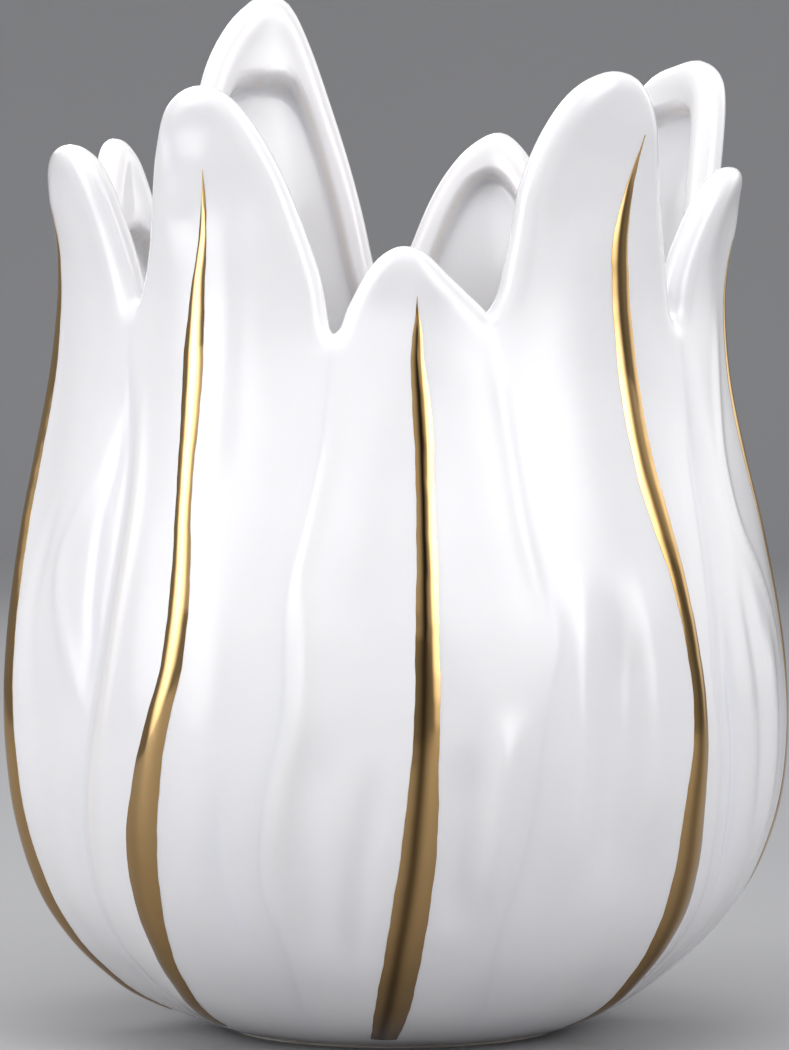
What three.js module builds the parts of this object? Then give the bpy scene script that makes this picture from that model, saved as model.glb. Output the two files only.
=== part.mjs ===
// Tulip vase in white porcelain: nine leaves standing in a ring, a gilded line on each leaf,
// a closed floor and a bare foot ring. Millimetres, +Z up, the short front leaf faces -Y.

import * as THREE from 'three';

// Joints between pieces.
const PIECE_GAP = 0.3;            // clear space left between two pieces that meet
const GILD_GAP = 0.5;             // clear space under a gilded line

// Wall of the body.
const LIP_THICKNESS = 8.5;        // leaf thickness at its rounded lip
const WALL_THICKNESS = 5.5;       // wall thickness below the lip
const LIP_INSET_SIDE = 6;         // width of the lip along the side of a leaf
const LIP_INSET_TIP = 19;         // width of the lip under the tip of a leaf
const LIP_STEP_RUN = 4;           // length over which the lip steps down to the wall
const BODY_SCALE = 1;             // girth of the whole body
const HEIGHT_SCALE = 1;           // height of the whole body

// Relief of the outer face.
const SEAM_DEPTH = 1.7;           // depth of the fold where two leaves meet
const SEAM_REACH = 6.5;           // half width of that fold
const CREST_HEIGHT = 0.9;         // swelling of a leaf under its gilded line
const CREST_REACH = 8;            // half width of that swelling
const RELIEF_START = 14;          // height at which the relief reaches its full depth
const LIP_TUCK = 1.4;             // how far the lip leans back behind the face of the leaf
const LIP_TUCK_REACH = 7;         // distance from the lip over which it leans back

// Gilded lines.
const GILD_EDGE = 0.5;            // thickness of a line along its edges
const GILD_CROWN_RATIO = 0.15;    // extra thickness in the middle, per millimetre of width
const GILD_FADE_HEIGHT = 14;      // the crown dies away below this height

// Foot and floor, which fit inside the lower ends of the leaves.
const FOOT_WIDTH = 7.6;           // width of the ring that the vase stands on
const FOOT_HEIGHT = 2;
const FOOT_CHAMFER = 0.5;
const ROUND_SIDES = 72;

// Fineness of the mesh.
const PETAL_COLUMNS = 10;
const PETAL_ROWS = 24;
const GILD_ROWS = 20;
const GILD_ACROSS = 4;
const CURVE_SAMPLES = 480;
const RIM_SAMPLES = 36;
const ROW_CROWDING = 1.4;         // rows crowd towards the lip as this grows above one

// Outside of the body from the foot to above the tallest leaf: [radius, height].
const PROFILE = [
  [39.4, 0.6], [47.4, 3.2], [56.8, 8], [66.2, 15], [76.2, 24.5], [84.4, 36], [89.8, 50], [92.4, 64],
  [92.9, 80], [91.3, 98], [87.9, 118], [83.6, 138], [80.2, 156], [78.8, 172], [79.2, 190],
  [80, 210], [80.8, 230], [81.6, 256],
];

// Seams between one leaf and the next, going round from the left: [height, degrees].
// The last entry of each is the bottom of the notch between the two leaves.
const SEAMS = [
  [[0, -100], [30, -103], [60, -101], [90, -98], [120, -99], [150, -101], [170, -100]],
  [[0, -62], [20, -57.5], [42, -53.5], [62, -50.6], [83, -48], [105, -46.6], [127, -46.2], [144, -47.4],
    [158, -49.4], [173, -51]],
  [[0, -22], [22, -18.5], [42, -20.3], [62, -18.6], [83, -15.7], [106, -15.7], [124, -13.4],
    [143, -11.4], [166.5, -10.4]],
  [[0, 21], [27, 17], [45, 18.6], [60, 20], [84, 21.8], [97, 23.8], [113, 22.3], [136, 20.2],
    [158, 18.6], [171, 15.3]],
  [[0, 66], [25, 60.5], [43, 57], [57, 55.4], [70, 54.7], [87, 52.8], [103, 53.6], [128, 55.2],
    [144, 56.2], [170, 57.5]],
  [[0, 112], [30, 110], [60, 108], [90, 106], [120, 102], [150, 96], [170, 92]],
  [[0, 142], [30, 140], [60, 143], [90, 140], [120, 137], [150, 137], [169, 136]],
  [[0, 182], [30, 184], [60, 180], [90, 178], [120, 182], [150, 183], [172, 181]],
  [[0, 226], [30, 222], [60, 225], [90, 227], [120, 222], [150, 221], [169, 223]],
];

// Each leaf: its edge between the two notches as [degrees, height], how far its tip
// leans out, and its gilded line from the top down as [height, degrees, width].
const PETALS = [
  {
    lean: 6,
    edge: [[-97.5, 182], [-91, 196], [-81, 206], [-71, 209.5], [-64.5, 208], [-60.5, 202.5], [-57.4, 192],
      [-54.6, 182]],
    gild: [[195, -75.5, 1.4], [180, -77, 2.6], [160, -80, 4.4], [143, -81, 5], [125, -80.5, 5.4],
      [107, -77.5, 6], [90, -75.5, 6.6], [70, -73.5, 7.6], [55, -73.5, 8.4], [42, -74.5, 8.4],
      [30, -76.5, 7.2], [18, -80, 6], [6, -84, 5]],
  },
  {
    lean: 5,
    edge: [[-47.2, 184], [-45.2, 196], [-42.8, 208], [-39.8, 217], [-34.5, 221.5], [-29, 220], [-24.4, 213],
      [-20.2, 203], [-16.8, 192.5], [-13.2, 179]],
    gild: [[203, -31.8, 1.2], [188, -32.5, 2], [175, -33.7, 3.8], [160, -34, 5.4], [145, -33.6, 4.9],
      [128, -32.9, 4.2], [108, -31.9, 5.3], [92, -32.5, 5.6], [78, -34.7, 6.4], [65, -36.8, 7.8],
      [52, -38.8, 9], [38, -40.4, 7.8], [26, -42.5, 5.8], [15, -46, 4.9], [5, -51.5, 4.5]],
  },
  {
    lean: 2.5,
    edge: [[-8, 172.5], [-4.6, 180], [-1.6, 184], [1.6, 185.5], [5, 183], [9, 177.5], [12.4, 173.5]],
    gild: [[174.5, 3.6, 1.2], [160, 3.7, 2.9], [147, 4.3, 4.2], [130, 4.6, 4.1], [110, 4.6, 4.9],
      [90, 4.5, 5.4], [72, 4.2, 6], [59, 3.7, 7.3], [45, 3, 8.2], [30, 1.6, 8.2], [15, -0.2, 7.9],
      [4, -2.8, 6]],
  },
  {
    lean: 5.5,
    edge: [[17, 176.5], [19.6, 188], [22.2, 200], [26, 212], [31, 221], [37.5, 225], [43.5, 222.5], [47.8, 213],
      [51.2, 197], [55, 180]],
    gild: [[211, 43.1, 1.2], [200, 41.3, 2], [188, 39.8, 4.4], [175, 40, 5.2], [158, 40.8, 5.9],
      [140, 41.5, 6], [128, 42.8, 6.3], [109, 45.4, 4.8], [88, 47.4, 4.9], [72, 47.7, 6], [58, 47.4, 7.7],
      [46, 48.4, 8.8], [34, 49.8, 8.8], [22, 51.5, 7], [12, 54, 5.5], [4, 57, 4.8]],
  },
  {
    lean: 7,
    edge: [[59.2, 177], [61.5, 186], [64.8, 195], [69, 201.5], [74.5, 204.5], [80, 202.5], [85.2, 194],
      [89, 182]],
    gild: [[188, 80, 1.2], [172, 80, 3.2], [155, 79.6, 4.6], [138, 81, 5.2], [121, 86, 5.6],
      [105, 91, 5.6], [88, 94, 6.4], [68, 95, 7.6], [50, 94.5, 8.4], [32, 95.5, 7.4], [16, 98, 6],
      [5, 100, 5]],
  },
  {
    lean: 6,
    edge: [[95.5, 181], [99, 197], [101.8, 213], [106, 226], [113, 231.5], [120, 231], [126.5, 228.5],
      [131.4, 221], [133.6, 209], [134.6, 195], [135.4, 180]],
    gild: [[214, 116, 1.2], [198, 115, 2.6], [180, 114.5, 4.8], [160, 115.5, 5.4], [140, 118, 5],
      [120, 121, 5.4], [100, 123.5, 5.6], [80, 125, 6.6], [60, 125, 8], [45, 124.5, 8.6],
      [30, 125, 7.4], [16, 127, 6], [5, 129, 5]],
  },
  {
    lean: 5,
    edge: [[140, 177], [146, 190], [151.5, 203], [156, 211.5], [160.8, 215.5], [166, 212], [170.2, 205.5],
      [173.4, 198], [176.4, 188.5], [178.8, 180]],
    gild: [[199, 161, 1.2], [186, 160, 2.6], [170, 159, 4.6], [150, 159.5, 5.2], [130, 161, 5],
      [110, 160, 5.4], [90, 158.5, 5.8], [70, 158.5, 7], [55, 160, 8.2], [40, 161.5, 8.4],
      [26, 162, 7], [14, 161, 5.8], [5, 160, 5]],
  },
  {
    lean: 4,
    edge: [[184.2, 183], [186.2, 195], [189, 209], [192.4, 223.5], [196.2, 238.5], [199.8, 248], [204, 250],
      [208.5, 246.5], [212.8, 240], [217, 230], [220.4, 216], [222, 202], [222.7, 186]],
    gild: [[233, 202.5, 1.2], [217, 201.5, 2.6], [197, 200.8, 4.6], [177, 201.5, 5.4], [156, 203, 5.2],
      [136, 203.5, 5], [114, 202, 5.4], [92, 201, 5.8], [72, 201.5, 7], [56, 203, 8.2],
      [42, 204.5, 8.6], [28, 205, 7.2], [15, 204, 5.8], [5, 203, 5]],
  },
  {
    lean: 5,
    edge: [[227.5, 178], [231.2, 190], [233.6, 202], [236, 209.5], [239.6, 213], [243.6, 209.5], [247.6, 201],
      [252.4, 189], [256.4, 178]],
    gild: [[197, 238.5, 1.2], [184, 239, 2.6], [168, 240.5, 4.6], [150, 242.5, 5.2], [130, 241.5, 5],
      [110, 240.5, 5.4], [90, 241.5, 5.8], [70, 243, 7], [55, 243.5, 8.2], [40, 242, 8.4],
      [26, 241, 7], [14, 242, 5.8], [5, 243.5, 5]],
  },
];

const TURN = 360;
const EDGE_RADIUS = 80;           // radius at which distances along the ring of tips are measured
const HALF_LIP = LIP_THICKNESS / 2;
const LIP_STEP = LIP_THICKNESS - WALL_THICKNESS;

const GLAZE = { color: 0xf3f2f7, roughness: 0.12, metalness: 0 };
const BISQUE = { color: 0xe6e0d4, roughness: 0.85, metalness: 0 };
const GOLD = { color: 0xb89b71, roughness: 0.25, metalness: 1 };

/** A smooth line through points, sampled evenly along its length. */
function smoothLine(points, samples) {
  const curve = new THREE.SplineCurve(points.map(([x, y]) => new THREE.Vector2(x, y)));
  return curve.getSpacedPoints(samples);
}

/** Value of a table of rows at a key, with the rows' first entry as the key. */
function lookUp(rows, key, column) {
  const last = rows.length - 1;
  const rising = rows[last][0] > rows[0][0];
  let index = 0;
  while (index < last - 1 && (rising ? rows[index + 1][0] < key : rows[index + 1][0] > key)) {
    index += 1;
  }
  const [before, after] = [rows[index], rows[index + 1]];
  const span = after[0] - before[0];
  const share = span === 0 ? 0 : THREE.MathUtils.clamp((key - before[0]) / span, 0, 1);
  return THREE.MathUtils.lerp(before[column], after[column], share);
}

/** Smooth table with the same rows as the given one, for even look-ups by its first entry. */
function smoothTable(rows, samples) {
  const columns = rows[0].length;
  const table = [];
  for (let step = 0; step <= samples; step += 1) {
    const place = (step / samples) * (rows.length - 1);
    const index = Math.min(Math.floor(place), rows.length - 2);
    const [a, b, c, d] = [index - 1, index, index + 1, index + 2]
      .map((row) => rows[THREE.MathUtils.clamp(row, 0, rows.length - 1)]);
    const t = place - index;
    const entry = [];
    for (let column = 0; column < columns; column += 1) {
      const slopeIn = (c[column] - a[column]) / 2;
      const slopeOut = (d[column] - b[column]) / 2;
      const rise = c[column] - b[column];
      const cubic = (slopeIn + slopeOut - 2 * rise) * t * t * t;
      const square = (3 * rise - 2 * slopeIn - slopeOut) * t * t;
      entry.push(cubic + square + slopeIn * t + b[column]);
    }
    table.push(entry);
  }
  return table;
}

// The outside of the body as [length along it, radius, height].
const profileRows = [];
for (const point of smoothLine(PROFILE, CURVE_SAMPLES)) {
  const radius = point.x * BODY_SCALE;
  const height = point.y * HEIGHT_SCALE;
  const before = profileRows[profileRows.length - 1];
  const length = before ? before[0] + Math.hypot(radius - before[1], height - before[2]) : 0;
  profileRows.push([length, radius, height]);
}
const heightRows = profileRows.map(([length, radius, height]) => [height, length, radius]);
const lengthAt = (height) => lookUp(heightRows, height * HEIGHT_SCALE, 1);

const seamTables = SEAMS.map((rows) => smoothTable(rows, CURVE_SAMPLES)
  .map(([height, degrees]) => [lengthAt(height), degrees]));
const gildTables = PETALS.map((petal) => smoothTable(petal.gild, CURVE_SAMPLES)
  .map(([height, degrees, width]) => [lengthAt(height), degrees, width]));

/** Degrees of a seam at a length up the body; index counts leaves, one full turn allowed. */
function seamDegrees(index, length) {
  const turns = index === PETALS.length ? TURN : 0;
  return lookUp(seamTables[index % PETALS.length], length, 1) + turns;
}

/** Edge of a leaf from notch to notch as points (degrees, length up the body). */
function petalEdge(index, samples) {
  const notch = (seam, turns) => {
    const rows = SEAMS[seam];
    const [height, degrees] = rows[rows.length - 1];
    return [degrees + turns, height];
  };
  const next = index + 1;
  const turns = next === PETALS.length ? TURN : 0;
  const points = [notch(index, 0), ...PETALS[index].edge, notch(next % PETALS.length, turns)];
  const perDegree = THREE.MathUtils.degToRad(EDGE_RADIUS);
  return smoothLine(points.map(([degrees, height]) => [degrees * perDegree, lengthAt(height)]), samples)
    .map((point) => new THREE.Vector2(point.x / perDegree, point.y));
}

// The whole ring of tips as short straight pieces, for distances from the lip.
const rimPieces = [];
for (let index = 0; index < PETALS.length; index += 1) {
  const edge = petalEdge(index, RIM_SAMPLES);
  for (let step = 0; step < RIM_SAMPLES; step += 1) {
    rimPieces.push([edge[step], edge[step + 1]]);
  }
}

/** Distance across the face from a place on the body to the nearest part of the lip. */
function lipDistance(degrees, length) {
  const perDegree = THREE.MathUtils.degToRad(EDGE_RADIUS);
  let nearest = Infinity;
  for (const [start, end] of rimPieces) {
    for (const turns of [-TURN, 0, TURN]) {
      const x = (degrees + turns - start.x) * perDegree;
      const y = length - start.y;
      const along = (end.x - start.x) * perDegree;
      const up = end.y - start.y;
      const share = THREE.MathUtils.clamp((x * along + y * up) / (along * along + up * up), 0, 1);
      nearest = Math.min(nearest, Math.hypot(x - share * along, y - share * up));
    }
  }
  return nearest;
}

/** A soft bump, one at its middle and dying away over its reach. */
const bump = (distance, reach) => Math.exp(-((distance / reach) ** 2));

/** Height of a leaf's face above the plain body at a place on it. */
function relief(index, degrees, length, radius, distance) {
  const perDegree = THREE.MathUtils.degToRad(radius);
  const left = (degrees - seamDegrees(index, length)) * perDegree;
  const right = (seamDegrees(index + 1, length) - degrees) * perDegree;
  const crest = (degrees - lookUp(gildTables[index], length, 1)) * perDegree;
  const folds = SEAM_DEPTH * (bump(left, SEAM_REACH) + bump(right, SEAM_REACH));
  const tuck = LIP_TUCK * bump(distance, LIP_TUCK_REACH);
  const fade = Math.min(1, lookUp(profileRows, length, 2) / RELIEF_START);
  return fade * (CREST_HEIGHT * bump(crest, CREST_REACH) - folds) - tuck;
}

const tipLengths = PETALS.map((petal) => lengthAt(Math.max(...petal.edge.map(([, height]) => height))));
const notchLengths = SEAMS.map((rows) => lengthAt(rows[rows.length - 1][0]));

/** Lean of a leaf outwards at a length up the body: nothing at its notches, full at its tip. */
function leanAt(index, length) {
  const start = Math.min(notchLengths[index], notchLengths[(index + 1) % PETALS.length]);
  const share = Math.max(0, (length - start) / (tipLengths[index] - start));
  return PETALS[index].lean * share * share;
}

/** Point of the body at a place on a leaf, lifted off the face along its normal. */
function bodyPoint(index, degrees, length, distance, lift) {
  const radius = lookUp(profileRows, length, 1);
  const height = lookUp(profileRows, length, 2);
  const step = 1;
  const outward = lookUp(profileRows, length + step, 1) - lookUp(profileRows, length - step, 1);
  const upward = lookUp(profileRows, length + step, 2) - lookUp(profileRows, length - step, 2);
  const size = Math.hypot(outward, upward);
  const offset = relief(index, degrees, length, radius, distance) + lift;
  const reach = radius + (offset * upward) / size + leanAt(index, length);
  const angle = THREE.MathUtils.degToRad(degrees);
  return new THREE.Vector3(
    reach * Math.sin(angle),
    -reach * Math.cos(angle),
    height - (offset * outward) / size,
  );
}

/** Closed mesh from rings of points, each ring joined to the next and both ends capped. */
function tubeGeometry(rings) {
  const around = rings[0].length;
  const positions = rings.flat().flatMap((point) => [point.x, point.y, point.z]);
  const faces = [];
  for (let row = 0; row < rings.length - 1; row += 1) {
    for (let side = 0; side < around; side += 1) {
      const a = row * around + side;
      const b = row * around + ((side + 1) % around);
      faces.push(a, b, b + around, a, b + around, a + around);
    }
  }
  const top = (rings.length - 1) * around;
  for (let side = 1; side < around - 1; side += 1) {
    faces.push(0, side + 1, side);
    faces.push(top, top + side, top + side + 1);
  }
  const geometry = new THREE.BufferGeometry();
  geometry.setAttribute('position', new THREE.Float32BufferAttribute(positions, 3));
  geometry.setIndex(faces);
  return geometry;
}

/** Closed leaf from its outer and inner grids, which share their last row along the lip. */
function leafGeometry(outer, inner) {
  const rows = outer.length - 1;
  const columns = outer[0].length - 1;
  const across = columns + 1;
  const points = [...outer.flat(), ...inner.slice(0, rows).flat()];
  const innerStart = outer.length * across;
  const out = (row, column) => row * across + column;
  const inn = (row, column) => (row === rows ? out(row, column) : innerStart + row * across + column);
  const faces = [];
  const quad = (a, b, c, d) => {
    for (const [p, q, r] of [[a, b, c], [a, c, d]]) {
      if (p !== q && q !== r && p !== r) {
        faces.push(p, q, r);
      }
    }
  };
  for (let row = 0; row < rows; row += 1) {
    for (let column = 0; column < columns; column += 1) {
      quad(out(row, column), out(row, column + 1), out(row + 1, column + 1), out(row + 1, column));
      quad(inn(row, column), inn(row + 1, column), inn(row + 1, column + 1), inn(row, column + 1));
    }
    quad(out(row, 0), out(row + 1, 0), inn(row + 1, 0), inn(row, 0));
    quad(out(row, columns), inn(row, columns), inn(row + 1, columns), out(row + 1, columns));
  }
  for (let column = 0; column < columns; column += 1) {
    quad(out(0, column), inn(0, column), inn(0, column + 1), out(0, column + 1));
  }
  const geometry = new THREE.BufferGeometry();
  const positions = points.flatMap((point) => [point.x, point.y, point.z]);
  geometry.setAttribute('position', new THREE.Float32BufferAttribute(positions, 3));
  geometry.setIndex(faces);
  return geometry;
}

/** Half thickness of the lip at a distance in from its edge, round like the lip itself. */
function lipRound(distance) {
  const share = Math.min(distance / HALF_LIP, 1);
  return HALF_LIP * Math.sqrt(1 - (1 - share) ** 2);
}

/** One leaf of the body, from the foot to its tip, with the lip and the step inside it. */
function buildPetal(index) {
  const mix = THREE.MathUtils.lerp;
  const edge = petalEdge(index, PETAL_COLUMNS);
  const [leftNotch, rightNotch] = [edge[0], edge[PETAL_COLUMNS]];
  const outer = [];
  const inner = [];
  for (let row = 0; row <= PETAL_ROWS; row += 1) {
    const up = 1 - (1 - row / PETAL_ROWS) ** ROW_CROWDING;
    const left = seamDegrees(index, up * leftNotch.y);
    const right = seamDegrees(index + 1, up * rightNotch.y);
    outer.push([]);
    inner.push([]);
    for (let column = 0; column <= PETAL_COLUMNS; column += 1) {
      const share = column / PETAL_COLUMNS;
      const swell = up * up;
      const rimLength = mix(leftNotch.y, rightNotch.y, share);
      const length = up * rimLength + swell * (edge[column].y - rimLength);
      const radius = lookUp(profileRows, length, 1);
      const trim = THREE.MathUtils.radToDeg(PIECE_GAP / 2 / radius) * (1 - 2 * share);
      const spread = edge[column].x - mix(leftNotch.x, rightNotch.x, share);
      const degrees = mix(left, right, share) + swell * spread + trim;
      const distance = row === PETAL_ROWS ? 0 : lipDistance(degrees, length);
      const rise = Math.max(0, (length - leftNotch.y) / (tipLengths[index] - leftNotch.y));
      const inset = mix(LIP_INSET_SIDE, LIP_INSET_TIP, Math.min(rise * rise, 1));
      const step = LIP_STEP * THREE.MathUtils.smoothstep(distance, inset, inset + LIP_STEP_RUN);
      const round = lipRound(distance);
      outer[row].push(bodyPoint(index, degrees, length, distance, round - HALF_LIP));
      inner[row].push(bodyPoint(index, degrees, length, distance, step - round - HALF_LIP));
    }
  }
  return leafGeometry(outer, inner);
}

/** The gilded line of one leaf: a crowned strip standing just off the face. */
function buildGild(index) {
  const table = gildTables[index];
  const top = table[0][0];
  const bottom = table[table.length - 1][0];
  const rings = [];
  for (let row = 0; row <= GILD_ROWS; row += 1) {
    const length = THREE.MathUtils.lerp(bottom, top, row / GILD_ROWS);
    const middle = lookUp(table, length, 1);
    const width = lookUp(table, length, 2);
    const radius = lookUp(profileRows, length, 1);
    const height = lookUp(profileRows, length, 2);
    const crown = GILD_CROWN_RATIO * width * Math.min(1, height / GILD_FADE_HEIGHT);
    const ring = [];
    const place = (share, lift) => {
      const degrees = middle + THREE.MathUtils.radToDeg(((share - 0.5) * width) / radius);
      ring.push(bodyPoint(index, degrees, length, lipDistance(degrees, length), lift));
    };
    for (let side = 0; side <= GILD_ACROSS; side += 1) {
      const share = side / GILD_ACROSS;
      place(share, GILD_GAP + GILD_EDGE + crown * (1 - (2 * share - 1) ** 2));
    }
    for (let side = GILD_ACROSS; side >= 0; side -= 2) {
      place(side / GILD_ACROSS, GILD_GAP);
    }
    rings.push(ring);
  }
  return tubeGeometry(rings);
}

/** A body turned about the vertical axis from a closed outline of [radius, height]. */
function turned(outline) {
  return new THREE.LatheGeometry(outline.map(([radius, height]) => new THREE.Vector2(radius, height)), ROUND_SIDES)
    .rotateX(Math.PI / 2);
}

// The lower ends of the leaves: one flat cone, square to the wall, that closes round the floor.
const [, endRadius, endHeight] = profileRows[0];
const endOutward = profileRows[1][1] - endRadius;
const endUpward = profileRows[1][2] - endHeight;
const floorTop = endHeight + (WALL_THICKNESS * endOutward) / Math.hypot(endOutward, endUpward);

/** Largest radius that fits inside the lower ends of the leaves at a height. */
const fitRadius = (height) => endRadius - ((height - endHeight) * endUpward) / endOutward - PIECE_GAP;

/** The bare ring the vase stands on. */
function buildFootRing() {
  const outer = fitRadius(FOOT_HEIGHT);
  const inner = outer - FOOT_WIDTH;
  return turned([
    [inner, FOOT_HEIGHT],
    [inner, FOOT_CHAMFER],
    [inner + FOOT_CHAMFER, 0],
    [outer - FOOT_CHAMFER, 0],
    [outer, FOOT_CHAMFER],
    [outer, FOOT_HEIGHT],
    [inner, FOOT_HEIGHT],
  ]);
}

/** The round floor inside the ring of leaves, level with the inside of their wall. */
function buildFloor() {
  const floorBottom = FOOT_HEIGHT + PIECE_GAP;
  return turned([
    [0, floorBottom],
    [fitRadius(floorBottom), floorBottom],
    [fitRadius(floorTop), floorTop],
    [0, floorTop],
  ]);
}

const vase = new THREE.Group();
vase.name = 'tulip_vase';

/** Adds one named piece with its own material. */
function addPiece(name, geometry, finish) {
  const mesh = new THREE.Mesh(geometry, new THREE.MeshStandardMaterial(finish));
  mesh.name = name;
  vase.add(mesh);
}

addPiece('foot_ring', buildFootRing(), BISQUE);
addPiece('floor_disc', buildFloor(), GLAZE);
for (let index = 0; index < PETALS.length; index += 1) {
  addPiece(`petal_${index + 1}`, buildPetal(index), GLAZE);
  addPiece(`gold_line_${index + 1}`, buildGild(index), GOLD);
}

export default vase;
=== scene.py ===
"""Tulip vase in glazed white porcelain with gilded lines, standing on a pale studio floor.

Sizes of the leaves, seams and gilded lines are in millimetres and degrees, with the short
front leaf at zero degrees and the angle growing towards the right. Meshes are in metres.
"""
import logging
import math
from dataclasses import dataclass
from enum import Enum

import bpy
import numpy as np
from bpy.types import Light, Material, Node, NodeSocket, NodeTree, Object
from mathutils import Euler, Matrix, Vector


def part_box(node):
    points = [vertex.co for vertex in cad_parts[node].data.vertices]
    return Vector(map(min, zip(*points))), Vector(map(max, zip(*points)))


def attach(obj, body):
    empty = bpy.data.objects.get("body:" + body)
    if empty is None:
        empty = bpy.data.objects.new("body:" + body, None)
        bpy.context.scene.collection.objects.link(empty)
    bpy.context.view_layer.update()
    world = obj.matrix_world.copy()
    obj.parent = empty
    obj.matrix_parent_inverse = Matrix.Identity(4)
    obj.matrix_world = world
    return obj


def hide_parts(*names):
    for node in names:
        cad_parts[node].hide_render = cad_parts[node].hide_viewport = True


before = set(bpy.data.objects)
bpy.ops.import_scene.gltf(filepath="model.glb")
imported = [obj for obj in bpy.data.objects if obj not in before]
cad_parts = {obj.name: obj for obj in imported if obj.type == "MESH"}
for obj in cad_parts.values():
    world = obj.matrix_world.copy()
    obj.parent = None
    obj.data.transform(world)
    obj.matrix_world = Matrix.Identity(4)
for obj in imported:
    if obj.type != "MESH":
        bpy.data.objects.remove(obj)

LOG = logging.getLogger("tulip_vase")
MM = 0.001
TURN = 360.0
ROOT = "root"
CURVE_SAMPLES = 480
TINY = 1e-9
SAME_HEIGHT = 1e-6
NEARLY_FLAT = 0.9
SHARP_EDGE = math.radians(30)
SMOOTH_EDGE = math.radians(40)

Array = np.ndarray
Rows = tuple[tuple[float, ...], ...]
Span = tuple[float, float]
Triple = tuple[float, float, float]


# ---------------------------------------------------------------- curves and places


def smooth_rows(rows: Rows, samples: int) -> Array:
    """Draws a smooth line through rows of numbers.

    Args:
        rows: The points to pass through, all of the same length.
        samples: How many equal steps to take over the whole line.

    Returns:
        An array of samples + 1 rows on the smooth line.
    """
    points = np.asarray(rows, dtype=float)
    last = len(points) - 1
    place = np.linspace(0.0, last, samples + 1)
    index = np.minimum(place.astype(int), last - 1)
    t = (place - index)[:, None]
    before, start, end, after = (
        points[np.clip(index + step, 0, last)] for step in (-1, 0, 1, 2)
    )
    slope_in = (end - before) / 2.0
    slope_out = (after - start) / 2.0
    rise = end - start
    cubic = (slope_in + slope_out - 2.0 * rise) * t**3
    square = (3.0 * rise - 2.0 * slope_in - slope_out) * t**2
    return cubic + square + slope_in * t + start


def even_steps(line: Array, shares: Array) -> Array:
    """Picks points at given shares of the length of a line.

    Args:
        line: Points of the line, in order.
        shares: Shares of the whole length, from 0 to 1.

    Returns:
        The points at those shares.
    """
    lengths = np.concatenate([[0.0], np.cumsum(np.hypot(*np.diff(line, axis=0).T))])
    wanted = shares * lengths[-1]
    return np.column_stack([np.interp(wanted, lengths, column) for column in line.T])


def bump(distance: Array, reach: float) -> Array:
    """A soft bump, one in the middle and dying away over its reach."""
    return np.exp(-((distance / reach) ** 2))


def turned(degrees: Array, middle: Array | float) -> Array:
    """Degrees from a line to places, by the shorter way round."""
    return (degrees - middle + TURN / 2) % TURN - TURN / 2


def ease(share: Array) -> Array:
    """Goes smoothly from 0 to 1 as share does, and stays there outside."""
    held = np.clip(share, 0.0, 1.0)
    return held * held * (3.0 - 2.0 * held)


@dataclass(frozen=True)
class Profile:
    """The outside of the body from the foot to above the tallest leaf, as (radius, height)."""

    points: Rows = (
        (39.4, 0.6), (47.4, 3.2), (56.8, 8), (66.2, 15), (76.2, 24.5), (84.4, 36), (89.8, 50),
        (92.4, 64), (92.9, 80), (91.3, 98), (87.9, 118), (83.6, 138), (80.2, 156), (78.8, 172),
        (79.2, 190), (80, 210), (80.8, 230), (81.6, 256),
    )

    def __post_init__(self) -> None:
        """Measures the profile along its length."""
        line = even_steps(smooth_rows(self.points, CURVE_SAMPLES * 4), np.linspace(0, 1, CURVE_SAMPLES))
        steps = np.hypot(*np.diff(line, axis=0).T)
        slope = np.gradient(line, axis=0)
        slope /= np.hypot(*slope.T)[:, None]
        object.__setattr__(self, "radii", line[:, 0])
        object.__setattr__(self, "heights", line[:, 1])
        object.__setattr__(self, "lengths", np.concatenate([[0.0], np.cumsum(steps)]))
        object.__setattr__(self, "slope", slope)

    def length_at(self, height: Array) -> Array:
        """Length up the body at a height."""
        return np.interp(height, self.heights, self.lengths)

    def radius_at(self, length: Array) -> Array:
        """Radius of the plain body at a length up it."""
        return np.interp(length, self.lengths, self.radii)

    def height_at(self, length: Array) -> Array:
        """Height of the plain body at a length up it."""
        return np.interp(length, self.lengths, self.heights)

    def rise_at(self, length: Array) -> tuple[Array, Array]:
        """Outward and upward parts of the direction up the body at a length."""
        return tuple(np.interp(length, self.lengths, part) for part in self.slope.T)


PROFILE = Profile()


@dataclass(frozen=True)
class Spots:
    """Places on the body.

    Attributes:
        leaf: Number of the leaf that they belong to.
        degrees: Their angles round the body.
        length: Their lengths up the body.
        distance: Their distances in from the nearest lip.
    """

    leaf: int
    degrees: Array
    length: Array
    distance: Array

    def __post_init__(self) -> None:
        """Looks up the radius and the height of the plain body at each place."""
        object.__setattr__(self, "radius", PROFILE.radius_at(self.length))
        object.__setattr__(self, "height", PROFILE.height_at(self.length))

    def across(self, middle: Array | float) -> Array:
        """Signed distances round the body from a line at the same heights."""
        return np.radians(turned(self.degrees, middle)) * self.radius


@dataclass(frozen=True)
class Track:
    """A line up the body, given as rows of (height, degrees, ...)."""

    rows: Rows

    def __post_init__(self) -> None:
        """Draws the line smoothly and sorts it from the foot up."""
        table = smooth_rows(self.rows, CURVE_SAMPLES)
        table[:, 0] = PROFILE.length_at(table[:, 0])
        table = table[np.argsort(table[:, 0], kind="stable")]
        object.__setattr__(self, "table", table)

    def value(self, length: Array, column: int = 1) -> Array:
        """The line's degrees, or another of its columns, at a length up the body."""
        return np.interp(length, self.table[:, 0], self.table[:, column])

    @property
    def bottom(self) -> float:
        """Length up the body at which the line starts."""
        return float(self.table[0, 0])

    @property
    def top(self) -> float:
        """Length up the body at which the line ends."""
        return float(self.table[-1, 0])


class FoldKind(Enum):
    """Which way a fold in the clay goes."""

    RIDGE = 1.0
    GROOVE = -1.0


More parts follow.
